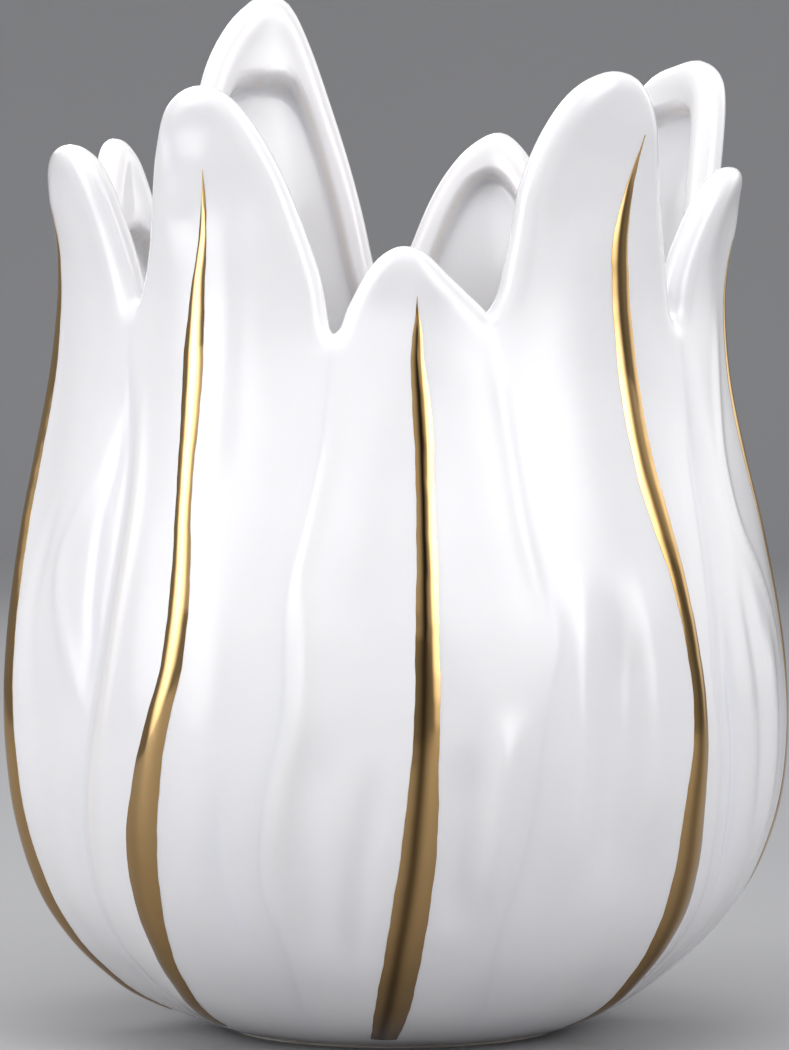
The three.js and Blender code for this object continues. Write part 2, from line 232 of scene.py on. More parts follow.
@dataclass(frozen=True)
class Fold:
    """A soft fold that runs up the face of the body.

    Attributes:
        kind: Ridge or groove.
        depth: Height or depth at its strongest.
        reach: Half width across it.
        rows: Its course as (height, degrees).
        fade: Share of its length over which each end dies away.
    """

    kind: FoldKind
    depth: float
    reach: float
    rows: Rows
    fade: float = 0.28

    def __post_init__(self) -> None:
        """Draws the fold's course."""
        object.__setattr__(self, "track", Track(self.rows))

    def lift(self, spots: Spots) -> Array:
        """Works out the height that the fold adds to the body.

        Args:
            spots: Places on the body.

        Returns:
            The added heights, negative in a groove.
        """
        bottom, top = self.track.bottom, self.track.top
        across = spots.across(self.track.value(spots.length))
        run = self.fade * (top - bottom)
        ends = ease((spots.length - bottom) / run) * ease((top - spots.length) / run)
        return self.kind.value * self.depth * bump(across, self.reach) * ends


@dataclass(frozen=True)
class Dent:
    """A shallow hollow, such as the one under a tip that curls out.

    Attributes:
        height, degrees: Where its middle is.
        reach: Half width across it.
        depth: Depth in its middle.
        squash: Its reach across, beside its reach up the body.
    """

    height: float
    degrees: float
    reach: float
    depth: float
    squash: float = 0.8

    def lift(self, spots: Spots) -> Array:
        """Works out the height that the dent adds to the body.

        Args:
            spots: Places on the body.

        Returns:
            The added heights, all negative.
        """
        along = spots.length - PROFILE.length_at(self.height)
        reach = np.hypot(spots.across(self.degrees), along * self.squash)
        return -self.depth * bump(reach, self.reach)


@dataclass(frozen=True)
class LeafPlan:
    """One leaf of the ring.

    Attributes:
        name: Its node, which also numbers its gilded line.
        seam: The seam on its left as (height, degrees); the last row is the notch.
        edge: Its edge between its two notches as (degrees, height).
        gild: Its gilded line from the top down as (height, degrees, width).
        lean: How far its tip leans out.
        lip_drop: How far the hollow inside stops below its tip.
        fold: Strength of the seam on its left.
        crest: Strength of its swelling towards the gilded line.
        painted_reflection: Strength of the painted dark reflection, a dark band painted along its gilded
            line.
    """

    name: str
    seam: Rows
    edge: Rows
    gild: Rows
    lean: float
    lip_drop: float = 12.0
    fold: float = 0.7
    crest: float = 1.0
    painted_reflection: float = 0.35


LEAVES = (
    LeafPlan(
        name="petal_1",
        seam=((0, -100), (30, -103), (60, -101), (90, -98), (120, -99), (150, -101), (170, -100)),
        edge=((-97.5, 182), (-91, 196), (-81, 206), (-71, 209.5), (-64.5, 208), (-60.5, 202.5),
            (-57.4, 192), (-54.6, 182)),
        gild=((195, -75, 1.6), (180, -75.6, 3), (160, -76.8, 5.4), (143, -76.8, 6.6), (125, -76.2, 7.4),
            (107, -74, 8.2), (90, -72.2, 8.8), (70, -70.6, 9.4), (55, -70.6, 9.8), (42, -71.6, 9.6),
            (30, -73.6, 8.4), (18, -77.5, 6.8), (6, -82, 5.4)),
        lean=6.0,
        crest=1.6,
    ),
    LeafPlan(
        name="petal_2",
        seam=((0, -62), (20, -57.5), (42, -53.5), (62, -50.6), (83, -48), (105, -46.6), (127, -46.2),
            (144, -47.4), (158, -49.4), (173, -51)),
        edge=((-47.2, 184), (-45.2, 196), (-42.8, 208), (-39.8, 217), (-34.5, 221.5), (-29, 220),
            (-24.4, 213), (-20.2, 203), (-16.8, 192.5), (-13.2, 179)),
        gild=((203, -31.8, 1.2), (188, -32.5, 2), (175, -33.7, 3.8), (160, -34, 5.4), (145, -33.6, 4.9),
            (128, -32.9, 4.2), (108, -31.9, 5.3), (92, -32.5, 5.6), (78, -34.7, 6.4), (65, -36.8, 7.8),
            (52, -38.8, 9), (38, -40.4, 7.8), (26, -42.5, 5.8), (15, -46, 4.9), (5, -51.5, 4.5)),
        lean=5.0,
        painted_reflection=0.1,
    ),
    LeafPlan(
        name="petal_3",
        seam=((0, -22), (22, -18.5), (42, -20.3), (62, -18.6), (83, -15.7), (106, -15.7), (124, -13.4),
            (143, -11.4), (166.5, -10.4)),
        edge=((-8, 172.5), (-4.6, 180), (-1.6, 184), (1.6, 185.5), (5, 184.2), (9, 179.4), (12.6, 175.2)),
        gild=((174.5, 3.6, 1.2), (160, 3.7, 2.9), (147, 4.3, 4.2), (130, 4.6, 4.1), (110, 4.6, 4.9),
            (90, 4.5, 5.4), (72, 4.2, 6), (59, 3.7, 7.3), (45, 3, 8.2), (30, 1.6, 8.2), (15, -0.2, 7.9),
            (4, -2.8, 6)),
        lean=2.5,
        fold=0.35,
        painted_reflection=0.95,
    ),
    LeafPlan(
        name="petal_4",
        seam=((0, 21), (27, 17), (45, 18.6), (60, 20), (84, 21.8), (97, 23.8), (113, 22.3), (136, 20.2),
            (158, 18.6), (171, 16.1)),
        edge=((18.7, 176.5), (20.5, 187.5), (22.2, 200), (26, 212), (31, 221), (37.5, 225), (43.5, 222.5),
            (47.8, 213), (51.2, 197), (55, 180)),
        gild=((211, 43.1, 1.2), (200, 41.3, 2), (188, 39.8, 4.4), (175, 40, 5.2), (158, 40.8, 5.9),
            (140, 41.5, 6), (128, 42.8, 6.3), (109, 45.4, 4.8), (88, 47.4, 4.9), (72, 47.7, 6),
            (58, 47.4, 7.7), (46, 48.4, 8.8), (34, 49.8, 8.8), (22, 51.5, 7), (12, 54, 5.5), (4, 57, 4.8)),
        lean=5.5,
        fold=0.3,
        painted_reflection=0.6,
    ),
    LeafPlan(
        name="petal_5",
        seam=((0, 66), (25, 60.5), (43, 57), (57, 55.4), (70, 54.7), (87, 52.8), (103, 53.6), (128, 55.2),
            (144, 56.2), (170, 57.5)),
        edge=((59.2, 177), (61.5, 186), (64.8, 195), (69, 201.5), (74.5, 204.5), (80, 202.5), (85.2, 194),
            (89, 182)),
        gild=((188, 80, 1.2), (172, 80, 3.2), (155, 79.6, 4.6), (138, 81, 5.2), (121, 86, 5.6),
            (105, 91, 5.6), (88, 94, 6.4), (68, 95, 7.6), (50, 94.5, 8.4), (32, 95.5, 7.4), (16, 98, 6),
            (5, 100, 5)),
        lean=7.0,
    ),
    LeafPlan(
        name="petal_6",
        seam=((0, 112), (30, 110), (60, 108), (90, 106), (120, 102), (150, 96), (170, 92)),
        edge=((95.5, 181), (99, 197), (101.8, 213), (106, 226), (113, 231.5), (120, 231), (126.5, 228.5),
            (131.4, 221), (133.6, 209), (134.6, 195), (135.4, 180)),
        gild=((214, 116, 1.2), (198, 115, 2.6), (180, 114.5, 4.8), (160, 115.5, 5.4), (140, 118, 5),
            (120, 121, 5.4), (100, 123.5, 5.6), (80, 125, 6.6), (60, 125, 8), (45, 124.5, 8.6),
            (30, 125, 7.4), (16, 127, 6), (5, 129, 5)),
        lean=6.0,
        lip_drop=11.0,
    ),
    LeafPlan(
        name="petal_7",
        seam=((0, 142), (30, 140), (60, 143), (90, 140), (120, 137), (150, 137), (169, 136)),
        edge=((140, 177), (146, 190), (151.5, 203), (156, 211.5), (160.8, 215.5), (166, 212),
            (170.2, 205.5), (173.4, 198), (176.4, 188.5), (178.8, 180)),
        gild=((199, 161, 1.2), (186, 160, 2.6), (170, 159, 4.6), (150, 159.5, 5.2), (130, 161, 5),
            (110, 160, 5.4), (90, 158.5, 5.8), (70, 158.5, 7), (55, 160, 8.2), (40, 161.5, 8.4),
            (26, 162, 7), (14, 161, 5.8), (5, 160, 5)),
        lean=5.0,
        lip_drop=8.5,
    ),
    LeafPlan(
        name="petal_8",
        seam=((0, 182), (30, 184), (60, 180), (90, 178), (120, 182), (150, 183), (172, 181)),
        edge=((184.2, 183), (186.2, 195), (189, 209), (192.4, 223.5), (196.2, 238.5), (199.8, 248),
            (204, 250), (208.5, 246.5), (212.8, 240), (217, 230), (220.4, 216), (222, 202), (222.7, 186)),
        gild=((233, 202.5, 1.2), (217, 201.5, 2.6), (197, 200.8, 4.6), (177, 201.5, 5.4), (156, 203, 5.2),
            (136, 203.5, 5), (114, 202, 5.4), (92, 201, 5.8), (72, 201.5, 7), (56, 203, 8.2),
            (42, 204.5, 8.6), (28, 205, 7.2), (15, 204, 5.8), (5, 203, 5)),
        lean=4.0,
        lip_drop=21.0,
    ),
    LeafPlan(
        name="petal_9",
        seam=((0, 226), (30, 222), (60, 225), (90, 227), (120, 222), (150, 221), (169, 223)),
        edge=((227.5, 178), (231.2, 190), (233.6, 202), (236, 209.5), (239.6, 213), (243.6, 209.5),
            (247.6, 201), (252.4, 189), (256.4, 178)),
        gild=((197, 238.5, 1.2), (184, 239, 2.6), (168, 240.5, 4.6), (150, 242.5, 5.2), (130, 241.5, 5),
            (110, 240.5, 5.4), (90, 241.5, 5.8), (70, 243, 7), (55, 243.5, 8.2), (40, 242, 8.4),
            (26, 241, 7), (14, 242, 5.8), (5, 243.5, 5)),
        lean=5.0,
        lip_drop=22.0,
    ),
)

RIDGE, GROOVE = FoldKind.RIDGE, FoldKind.GROOVE
FOLDS = (
    Fold(RIDGE, 0.5, 2.6, ((150, -50.6), (143, -52.5), (134, -53.9), (123, -57), (115, -59.3), (106, -58.5),
        (96, -55.5), (83, -51.2), (74, -50))),
    Fold(GROOVE, 0.35, 2.0, ((156, -48.8), (134, -49.6), (123, -50.8), (104, -50.2), (93, -49.4),
        (76, -51))),
    Fold(GROOVE, 0.3, 2.6, ((132, -63), (118, -65.5), (104, -66.5), (90, -65), (76, -62))),
    Fold(RIDGE, 0.5, 5.0, ((120, -70), (90, -68), (60, -66), (36, -68))),
    Fold(RIDGE, 0.6, 3.2, ((200, -29.6), (188, -29), (172, -28.6), (150, -28.4), (130, -27.6))),
    Fold(GROOVE, 0.35, 1.3, ((216, -38.6), (210, -38.4), (204, -37.8), (197, -37))),
    Fold(RIDGE, 0.55, 2.4, ((166, -47.6), (144, -45), (127, -43.6), (105, -44.2), (83, -45.6), (62, -48.2),
        (42, -51), (24, -54.5))),
    Fold(GROOVE, 0.35, 2.2, ((66, -25), (50, -26), (36, -25.5), (24, -23))),
    Fold(RIDGE, 0.5, 5.0, ((120, -27), (90, -26), (62, -28.5), (40, -31), (24, -32))),
    Fold(RIDGE, 0.36, 2.4, ((166, -9), (150, -9.2), (138, -10.2), (125, -11.8), (113, -13.2), (105, -12.6),
        (95, -12), (83, -12.4), (72, -14.2), (60, -15.8), (46, -17), (30, -15.5))),
    Fold(RIDGE, 0.4, 5.0, ((158, -3), (142, -4), (126, -5.5), (104, -6))),
    Fold(GROOVE, 1.6, 6.0, ((84, -10), (66, -11.5), (48, -13), (32, -12.5), (22, -11))),
    Fold(GROOVE, 0.9, 3.2, ((74, -2.5), (60, -3.4), (46, -4.8), (30, -6), (20, -6.5))),
    Fold(GROOVE, 1.8, 5.0, ((78, 10.5), (62, 10), (46, 9.6), (30, 9))),
    Fold(RIDGE, 1.6, 4.5, ((84, 16), (68, 15), (51, 14), (34, 12.5))),
    Fold(RIDGE, 0.3, 2.2, ((170, 15), (156, 16.8), (140, 18), (124, 19), (112, 20.4), (98, 22.4))),
    Fold(RIDGE, 1.6, 4.6, ((118, 28), (94, 27), (72, 26.6), (50, 26), (32, 24.5))),
    Fold(GROOVE, 1.6, 5.0, ((108, 34.5), (84, 33.6), (60, 33), (36, 32.5))),
    Fold(RIDGE, 1.1, 4.5, ((120, 38), (96, 39), (70, 39.6), (44, 40))),
    Fold(GROOVE, 0.5, 1.6, ((104, 56.6), (88, 56), (70, 57.4), (50, 59), (30, 62.5))),
    Fold(RIDGE, 0.6, 2.4, ((178, 73.5), (166, 73), (150, 70), (137, 67.3), (122, 68), (110, 74), (96, 80),
        (84, 82))),
    Fold(GROOVE, 0.6, 4.0, ((118, 64), (94, 66), (70, 67.5), (44, 69))),
    Fold(RIDGE, 0.6, 4.0, ((104, 74), (80, 73), (58, 74), (36, 77))),
    Fold(RIDGE, 0.6, 2.2, ((164, 88.5), (144, 92), (120, 97.5), (96, 102), (70, 104.5))),
    Fold(GROOVE, 0.6, 4.6, ((140, 108), (110, 112), (80, 115), (50, 117))),
    Fold(RIDGE, 0.6, 3.0, ((150, 131), (124, 131), (96, 134), (66, 136), (40, 134))),
    Fold(RIDGE, 0.6, 2.2, ((162, 141), (140, 142.5), (116, 143), (92, 146), (66, 148))),
    Fold(GROOVE, 0.7, 5.0, ((120, 151), (92, 151), (62, 151), (36, 150))),
    Fold(RIDGE, 0.6, 4.0, ((130, 170), (100, 169), (70, 171), (40, 173))),
    Fold(RIDGE, 0.6, 2.2, ((160, 186), (138, 188), (112, 187.5), (86, 184), (62, 186))),
    Fold(GROOVE, 0.7, 5.0, ((110, 193.5), (84, 191.5), (56, 193), (34, 195))),
    Fold(RIDGE, 0.6, 4.2, ((140, 213), (108, 213), (78, 214.5), (44, 213))),
    Fold(RIDGE, 0.6, 2.2, ((158, 226), (136, 227), (112, 228.5), (88, 232), (64, 231))),
    Fold(GROOVE, 0.7, 4.6, ((104, 235), (80, 236.5), (54, 236), (32, 234))),
    Fold(RIDGE, 0.6, 3.6, ((136, 251), (108, 252), (78, 253), (44, 251))),
    Fold(GROOVE, 0.6, 3.0, ((130, 266), (104, 268), (78, 267), (50, 265))),
)

DENTS = (
    Dent(190, -76, 9, 0.9),
    Dent(200, -27, 12, 1.5),
    Dent(191, -35.5, 4, 0.5),
    Dent(173, -3, 7, 0.9),
    Dent(202, 36, 14, 1.8),
    Dent(188, 74, 9, 0.9),
    Dent(210, 118, 12, 1.3),
    Dent(196, 158, 11, 1.3),
    Dent(228, 202, 12, 1.3),
    Dent(194, 238, 9, 1.1),
    Dent(140, 85, 36, 2.0),
)


# ---------------------------------------------------------------- the body's shape


@dataclass(frozen=True)
class Body:
    """The whole ring of leaves as one surface, from which leaves and lines are cut.

    Attributes:
        lip: Thickness of a leaf at its rounded lip.
        wall: Thickness of the wall below the lip.
        lip_inset: Width of the lip along the side of a leaf.
        step_run: Length over which the lip steps down to the wall.
        seam_depth, seam_reach: The broad hollow where two leaves meet.
        crease_depth, crease_reach: The narrow line at the bottom of it.
        seam_fade: Length below a notch over which both come in.
        crest, crest_reach: The swelling of a leaf towards its gilded line.
        roll, roll_reach: The raised roll along the lip.
        tuck, tuck_reach: How far the lip leans back behind the face.
        relief_start: Height at which the relief reaches its full depth.
        notch_round: Radius of the notch between two leaves.
        edge_radius: Radius at which distances along the ring of tips are measured.
        rim_steps: Points along the edge of a leaf.
        rim_block: Places measured against the edges at a time.
        floor_of_lip: Least half thickness of the lip.
        lip_run: Length over which the lip rounds, in half thicknesses.
        crest_run: Length over which the crest dies away above its gilded line.
        keel_round: Radius of the crest's keel.
        roll_crest, roll_hollow: How far in from the lip the roll rises and sinks.
        hollow_arch: How strongly the top of the hollow inside is arched.
        hollow_corner: Radius of the hollow's corners.
        hollow_deeper, hollow_deep_at, hollow_deep_reach: How much deeper it is just below its
            top, how far down, and over what length.
        wander: Slow waves of a hand-made surface, as (size, turns, pitch, phase).
    """

    lip: float = 8.5
    wall: float = 5.5
    lip_inset: float = 5.8
    step_run: float = 2.6
    seam_depth: float = 1.2
    seam_reach: float = 8.0
    crease_depth: float = 0.35
    crease_reach: float = 1.7
    seam_fade: float = 34.0
    crest: float = 1.4
    crest_reach: float = 9.0
    roll: float = 0.1
    roll_reach: float = 4.5
    tuck: float = 1.0
    tuck_reach: float = 8.5
    relief_start: float = 14.0
    notch_round: float = 1.5
    edge_radius: float = 80.0
    rim_steps: int = 180
    rim_block: int = 4096
    floor_of_lip: float = 0.06
    lip_run: float = 1.5
    crest_run: float = 12.0
    keel_round: float = 2.0
    roll_crest: float = 4.5
    roll_hollow: float = 11.0
    hollow_arch: float = 0.25
    hollow_corner: float = 2.2
    hollow_deeper: float = 0.45
    hollow_deep_at: float = 4.0
    hollow_deep_reach: float = 12.0
    wander: Rows = ((0.16, 7.0, 0.031, 0.4), (0.12, 13.0, -0.047, 2.1), (0.08, 23.0, 0.071, 4.4))

    def __post_init__(self) -> None:
        """Draws the seams, the gilded lines and the ring of tips."""
        seams = [Track(leaf.seam) for leaf in LEAVES]
        object.__setattr__(self, "seams", seams)
        object.__setattr__(self, "gilds", [Track(leaf.gild) for leaf in LEAVES])
        rims = [self.edge_line(index, np.linspace(0, 1, self.rim_steps)) for index in range(len(LEAVES))]
        object.__setattr__(self, "rims", rims)

    def seam_degrees(self, index: int, length: Array) -> Array:
        """Degrees of a seam at lengths up the body, one full turn allowed."""
        turns = TURN if index == len(LEAVES) else 0.0
        return self.seams[index % len(LEAVES)].value(length) + turns

    def edge_line(self, index: int, shares: Array) -> Array:
        """Edge of a leaf from notch to notch.

        Args:
            index: Which leaf.
            shares: Shares of the edge's length, from 0 to 1.

        Returns:
            Rows of (degrees, length up the body).
        """
        following = (index + 1) % len(LEAVES)
        turns = TURN if following == 0 else 0.0
        height, degrees = LEAVES[index].seam[-1]
        next_height, next_degrees = LEAVES[following].seam[-1]
        scale = math.radians(self.edge_radius)
        bend = self.notch_round / scale
        first = (degrees + bend, height + self.notch_round)
        last = (next_degrees + turns - bend, next_height + self.notch_round)
        ends = ((degrees, height), (next_degrees + turns, next_height))
        rows = np.array([ends[0], first, *LEAVES[index].edge, last, ends[1]])
        flat = np.column_stack([rows[:, 0] * scale, PROFILE.length_at(rows[:, 1])])
        line = even_steps(smooth_rows(flat, CURVE_SAMPLES), shares)
        line[:, 0] /= scale
        return line

    def measure(self, index: int, degrees: Array, length: Array) -> Spots:
        """Measures places on a leaf across its face to the nearest lip.

        Args:
            index: The leaf.
            degrees: Angles of the places.
            length: Their lengths up the body.

        Returns:
            The places, with their distances in from the lip of the leaf or of either neighbour.
        """
        scale = math.radians(self.edge_radius)
        near = [self.rims[(index + step) % len(LEAVES)] for step in (-1, 0, 1)]
        start = np.vstack([rim[:-1] for rim in near])
        end = np.vstack([rim[1:] for rim in near])
        along = (end[:, 0] - start[:, 0]) * scale
        up = end[:, 1] - start[:, 1]
        square = np.maximum(along**2 + up**2, TINY)
        found = np.empty(len(degrees))
        for first in range(0, len(found), self.rim_block):
            part = slice(first, first + self.rim_block)
            x = turned(degrees[part, None], start[None, :, 0]) * scale
            y = length[part, None] - start[None, :, 1]
            share = np.clip((x * along + y * up) / square, 0.0, 1.0)
            found[part] = np.hypot(x - share * along, y - share * up).min(axis=1)
        return Spots(index, degrees, length, found)

    def lean(self, spots: Spots) -> Array:
        """How far a leaf leans out: not at all at its notches, and fully at its tip.

        Args:
            spots: Places on the leaf.

        Returns:
            The distances it leans out there.
        """
        leaf = LEAVES[spots.leaf]
        notch = max(self.seams[spots.leaf].top, self.seams[(spots.leaf + 1) % len(LEAVES)].top)
        tip = PROFILE.length_at(max(height for _, height in leaf.edge))
        share = np.clip((spots.length - notch) / (tip - notch), 0.0, None)
        return leaf.lean * share**2

    def relief(self, spots: Spots) -> Array:
        """Works out the height of the outer face above the plain body.

        Args:
            spots: Places on the body.

        Returns:
            The heights at those places.
        """
        lift = np.zeros(len(spots.degrees))
        for seam, leaf in zip(self.seams, LEAVES):
            across = spots.across(seam.value(spots.length))
            below = ease((seam.top - spots.length) / self.seam_fade)
            valley = self.seam_depth * bump(across, self.seam_reach)
            lift -= below * leaf.fold * (valley + self.crease_depth * bump(across, self.crease_reach))
        for gild, leaf in zip(self.gilds, LEAVES):
            across = spots.across(gild.value(spots.length))
            inside = ease((gild.top + self.crest_run - spots.length) / self.crest_run)
            keel = np.sqrt(across**2 + self.keel_round**2) - self.keel_round
            lift += leaf.crest * self.crest * np.exp(-keel / self.crest_reach) * inside
        for shape in (*FOLDS, *DENTS):
            lift += shape.lift(spots)
        for size, turns, pitch, phase in self.wander:
            lift += size * np.sin(np.radians(turns * spots.degrees) + spots.height * pitch + phase)
        lip = self.roll * bump(spots.distance - self.roll_crest, self.roll_reach)
        lip -= self.roll * bump(spots.distance - self.roll_hollow, self.roll_reach)
        lip -= self.tuck * bump(spots.distance, self.tuck_reach)
        return lift * ease(spots.height / self.relief_start) + lip

    def place(self, spots: Spots, offset: Array) -> Array:
        """Works out points at an offset from the plain body.

        Args:
            spots: Places on the body.
            offset: Heights above the plain body.

        Returns:
            Points in metres, with x, y and z last.
        """
        outward, upward = PROFILE.rise_at(spots.length)
        reach = spots.radius + offset * upward + self.lean(spots)
        angle = np.radians(spots.degrees)
        height = spots.height - offset * outward
        return np.stack([reach * np.sin(angle), -reach * np.cos(angle), height], axis=-1) * MM

    def lip_round(self, distance: Array) -> Array:
        """Half thickness of the rounded lip.

        Args:
            distance: Distances in from its edge.

        Returns:
            The half thicknesses there.
        """
        half = self.lip / 2
        share = np.minimum(distance / (half * self.lip_run), 1.0)
        return np.maximum(half * np.sqrt(1 - (1 - share) ** 3), self.floor_of_lip)

    def hollow(self, spots: Spots) -> Array:
        """How far the inside has stepped down from the lip.

        Args:
            spots: Places on a leaf.

        Returns:
            Shares of the step, one being down to the wall.
        """
        rim = self.rims[spots.leaf]
        tip = rim[np.argmax(rim[:, 1])]
        arch = np.radians(spots.degrees - tip[0]) ** 2 * self.edge_radius * self.hollow_arch
        below = tip[1] - LEAVES[spots.leaf].lip_drop - arch - spots.length
        beside = spots.distance - self.lip_inset
        soft = self.hollow_corner
        nearest = -soft * np.logaddexp(-beside / soft, -below / soft)
        deeper = 1.0 + self.hollow_deeper * bump(below - self.hollow_deep_at, self.hollow_deep_reach)
        return ease(nearest / self.step_run) * deeper


BODY = Body()


# ---------------------------------------------------------------- finishes


class Slot(Enum):
    """Kinds of finish; glaze gives a piece's name the ending _glazed."""

    GLAZE = "porcelain_glaze"
    BISQUE = "bisque"
    GOLD = "gold_lustre"


@dataclass(frozen=True)
class Grain:
    """A noise pattern.

    Attributes:
        scale: Cells per metre.
        detail: Octaves of finer noise.
        upright: Scale along z, beside the scale along x and y.
        span: Lowest and highest value of the noise that count.
    """

    scale: float
    detail: float
    upright: float = 1.0
    span: Span = (0.3, 0.7)


def new_material(name: str) -> tuple[Material, NodeTree, Node]:
    """Makes a material with one principled shader.

    Args:
        name: Name of the material.

    Returns:
        The material, its node tree and its shader node.
    """
    material = bpy.data.materials.new(name)
    material.use_nodes = True
    tree = material.node_tree
    shader = next(node for node in tree.nodes if node.type == "BSDF_PRINCIPLED")
    return material, tree, shader


def add_noise(tree: NodeTree, grain: Grain) -> NodeSocket:
    """Adds a noise pattern on object coordinates.

    Args:
        tree: The tree to add it to.
        grain: The pattern.

    Returns:
        The pattern's value socket.
    """
    coordinates = tree.nodes.new("ShaderNodeTexCoord")
    mapping = tree.nodes.new("ShaderNodeMapping")
    mapping.inputs["Scale"].default_value = (1.0, 1.0, grain.upright)
    noise = tree.nodes.new("ShaderNodeTexNoise")
    noise.inputs["Scale"].default_value = grain.scale
    noise.inputs["Detail"].default_value = grain.detail
    tree.links.new(coordinates.outputs["Object"], mapping.inputs["Vector"])
    tree.links.new(mapping.outputs["Vector"], noise.inputs["Vector"])
    return noise.outputs["Fac"]


def add_axis(tree: NodeTree, kind: str, axis: str) -> NodeSocket:
    """Adds one coordinate.

    Args:
        tree: The tree to add it to.
        kind: Which coordinates.
        axis: X, Y or Z.

    Returns:
        The coordinate's socket.
    """
    coordinates = tree.nodes.new("ShaderNodeTexCoord")
    split = tree.nodes.new("ShaderNodeSeparateXYZ")
    tree.links.new(coordinates.outputs[kind], split.inputs["Vector"])
    return split.outputs[axis]


def add_range(tree: NodeTree, value: NodeSocket, span: Span, result: Span = (0.0, 1.0)) -> NodeSocket:
    """Maps a value from one span to another, clamped.

    Args:
        tree: The tree to add it to.
        value: The value to map.
        span: Lowest and highest incoming value.
        result: What they become.

    Returns:
        The mapped value's socket.
    """
    ranger = tree.nodes.new("ShaderNodeMapRange")
    ranger.inputs["From Min"].default_value, ranger.inputs["From Max"].default_value = span
    ranger.inputs["To Min"].default_value, ranger.inputs["To Max"].default_value = result
    tree.links.new(value, ranger.inputs["Value"])
    return ranger.outputs["Result"]


def add_maths(tree: NodeTree, operation: str, *values: NodeSocket) -> NodeSocket:
    """Works out one value from others.

    Args:
        tree: The tree to add it to.
        operation: What to do with the values.
        values: The values.

    Returns:
        The new value's socket.
    """
    node = tree.nodes.new("ShaderNodeMath")
    node.operation = operation
    for value, socket in zip(values, node.inputs):
        tree.links.new(value, socket)
    return node.outputs["Value"]


def add_mix(tree: NodeTree, share: NodeSocket, first: NodeSocket | Triple, second: Triple) -> NodeSocket:
    """Mixes two colours.

    Args:
        tree: The tree to add it to.
        share: How much of the second colour.
        first: A colour or a colour socket.
        second: The other colour.

    Returns:
        The mixed colour's socket.
    """
    mix = tree.nodes.new("ShaderNodeMix")
    mix.data_type = "RGBA"
    tree.links.new(share, mix.inputs["Factor"])
    sockets = {item.name: item for item in mix.inputs if item.type == "RGBA"}
    if isinstance(first, NodeSocket):
        tree.links.new(first, sockets["A"])
    else:
        sockets["A"].default_value = (*first, 1.0)
    sockets["B"].default_value = (*second, 1.0)
    return next(item for item in mix.outputs if item.type == "RGBA")


def add_tint(tree: NodeTree, mark: str, base: NodeSocket, colour: Triple) -> NodeSocket:
    """Tints a colour where the vertices of a mesh are marked.

    Args:
        tree: The tree to add it to.
        mark: Name of the mark.
        base: The colour elsewhere.
        colour: The colour where the mark is one.

    Returns:
        The tinted colour's socket.
    """
    marks = tree.nodes.new("ShaderNodeAttribute")
    marks.attribute_name = mark
    return add_mix(tree, marks.outputs["Fac"], base, colour)


def add_bump(tree: NodeTree, shader: Node, height: NodeSocket, depth: float, strength: float) -> None:
    """Adds a bump to a shader.

    Args:
        tree: The tree to add it to.
        shader: The shader that gets it.
        height: The bump's pattern, from 0 to 1.
        depth: Depth of the bump in metres.
        strength: How much of it shows.
    """
    node = tree.nodes.new("ShaderNodeBump")
    node.inputs["Strength"].default_value = strength
    node.inputs["Distance"].default_value = depth
    tree.links.new(height, node.inputs["Height"])
    tree.links.new(node.outputs["Normal"], shader.inputs["Normal"])


@dataclass(frozen=True)
class PorcelainGlaze:
    """Thick glossy white glaze.

    Attributes:
        body, cloud: Its colour, and that of the faint clouds in it.
        thin: Warmer, where it runs thin over an edge.
        pooled: Cooler, where it pools in a fold.
        inside: Painted shade in the hollow, a greyer glaze where shade falls.
        roughness: Lowest and highest.
        clouds, gloss, peel: Patterns of the clouds, the roughness and the orange peel.
        peel_depth, peel_strength: Depth of the orange peel, and how much of it shows.
        refraction: Index of refraction.
        coat, coat_roughness: Clear top layer.
        glow, glow_depth, glow_radius: Light that goes through the porcelain under it.
    """

    body: Triple = (0.88, 0.875, 0.892)
    cloud: Triple = (0.86, 0.85, 0.868)
    thin: Triple = (0.74, 0.66, 0.57)
    pooled: Triple = (0.84, 0.85, 0.93)
    # Painted shade: the greyer colour given to the hollow inside.
    inside: Triple = (0.76, 0.755, 0.775)
    roughness: Span = (0.07, 0.13)
    clouds: Grain = Grain(22.0, 3.0, 0.35, (0.42, 0.62))
    gloss: Grain = Grain(60.0, 4.0, 0.6, (0.35, 0.7))
    peel: Grain = Grain(130.0, 2.0, 0.7)
    peel_depth: float = 0.00012
    peel_strength: float = 0.35
    refraction: float = 1.5
    coat: float = 0.35
    coat_roughness: float = 0.04
    glow: float = 0.12
    glow_depth: float = 0.003
    glow_radius: Triple = (1.0, 0.85, 0.7)

    def build(self) -> Material:
        """Makes the glaze's material.

        Returns:
            The material.
        """
        material, tree, shader = new_material("porcelain_glaze")
        clouds = add_range(tree, add_noise(tree, self.clouds), self.clouds.span)
        base = add_mix(tree, clouds, self.body, self.cloud)
        # The inside tint is painted shade: greyer glaze in the hollow, where shade falls.
        for mark, colour in (("pooled", self.pooled), ("inside", self.inside), ("thin", self.thin)):
            base = add_tint(tree, mark, base, colour)
        tree.links.new(base, shader.inputs["Base Color"])
        gloss = add_range(tree, add_noise(tree, self.gloss), self.gloss.span, self.roughness)
        tree.links.new(gloss, shader.inputs["Roughness"])
        add_bump(tree, shader, add_noise(tree, self.peel), self.peel_depth, self.peel_strength)
        shader.inputs["IOR"].default_value = self.refraction
        shader.inputs["Coat Weight"].default_value = self.coat
        shader.inputs["Coat Roughness"].default_value = self.coat_roughness
        shader.inputs["Subsurface Weight"].default_value = self.glow
        shader.inputs["Subsurface Scale"].default_value = self.glow_depth
        shader.inputs["Subsurface Radius"].default_value = self.glow_radius
        return material


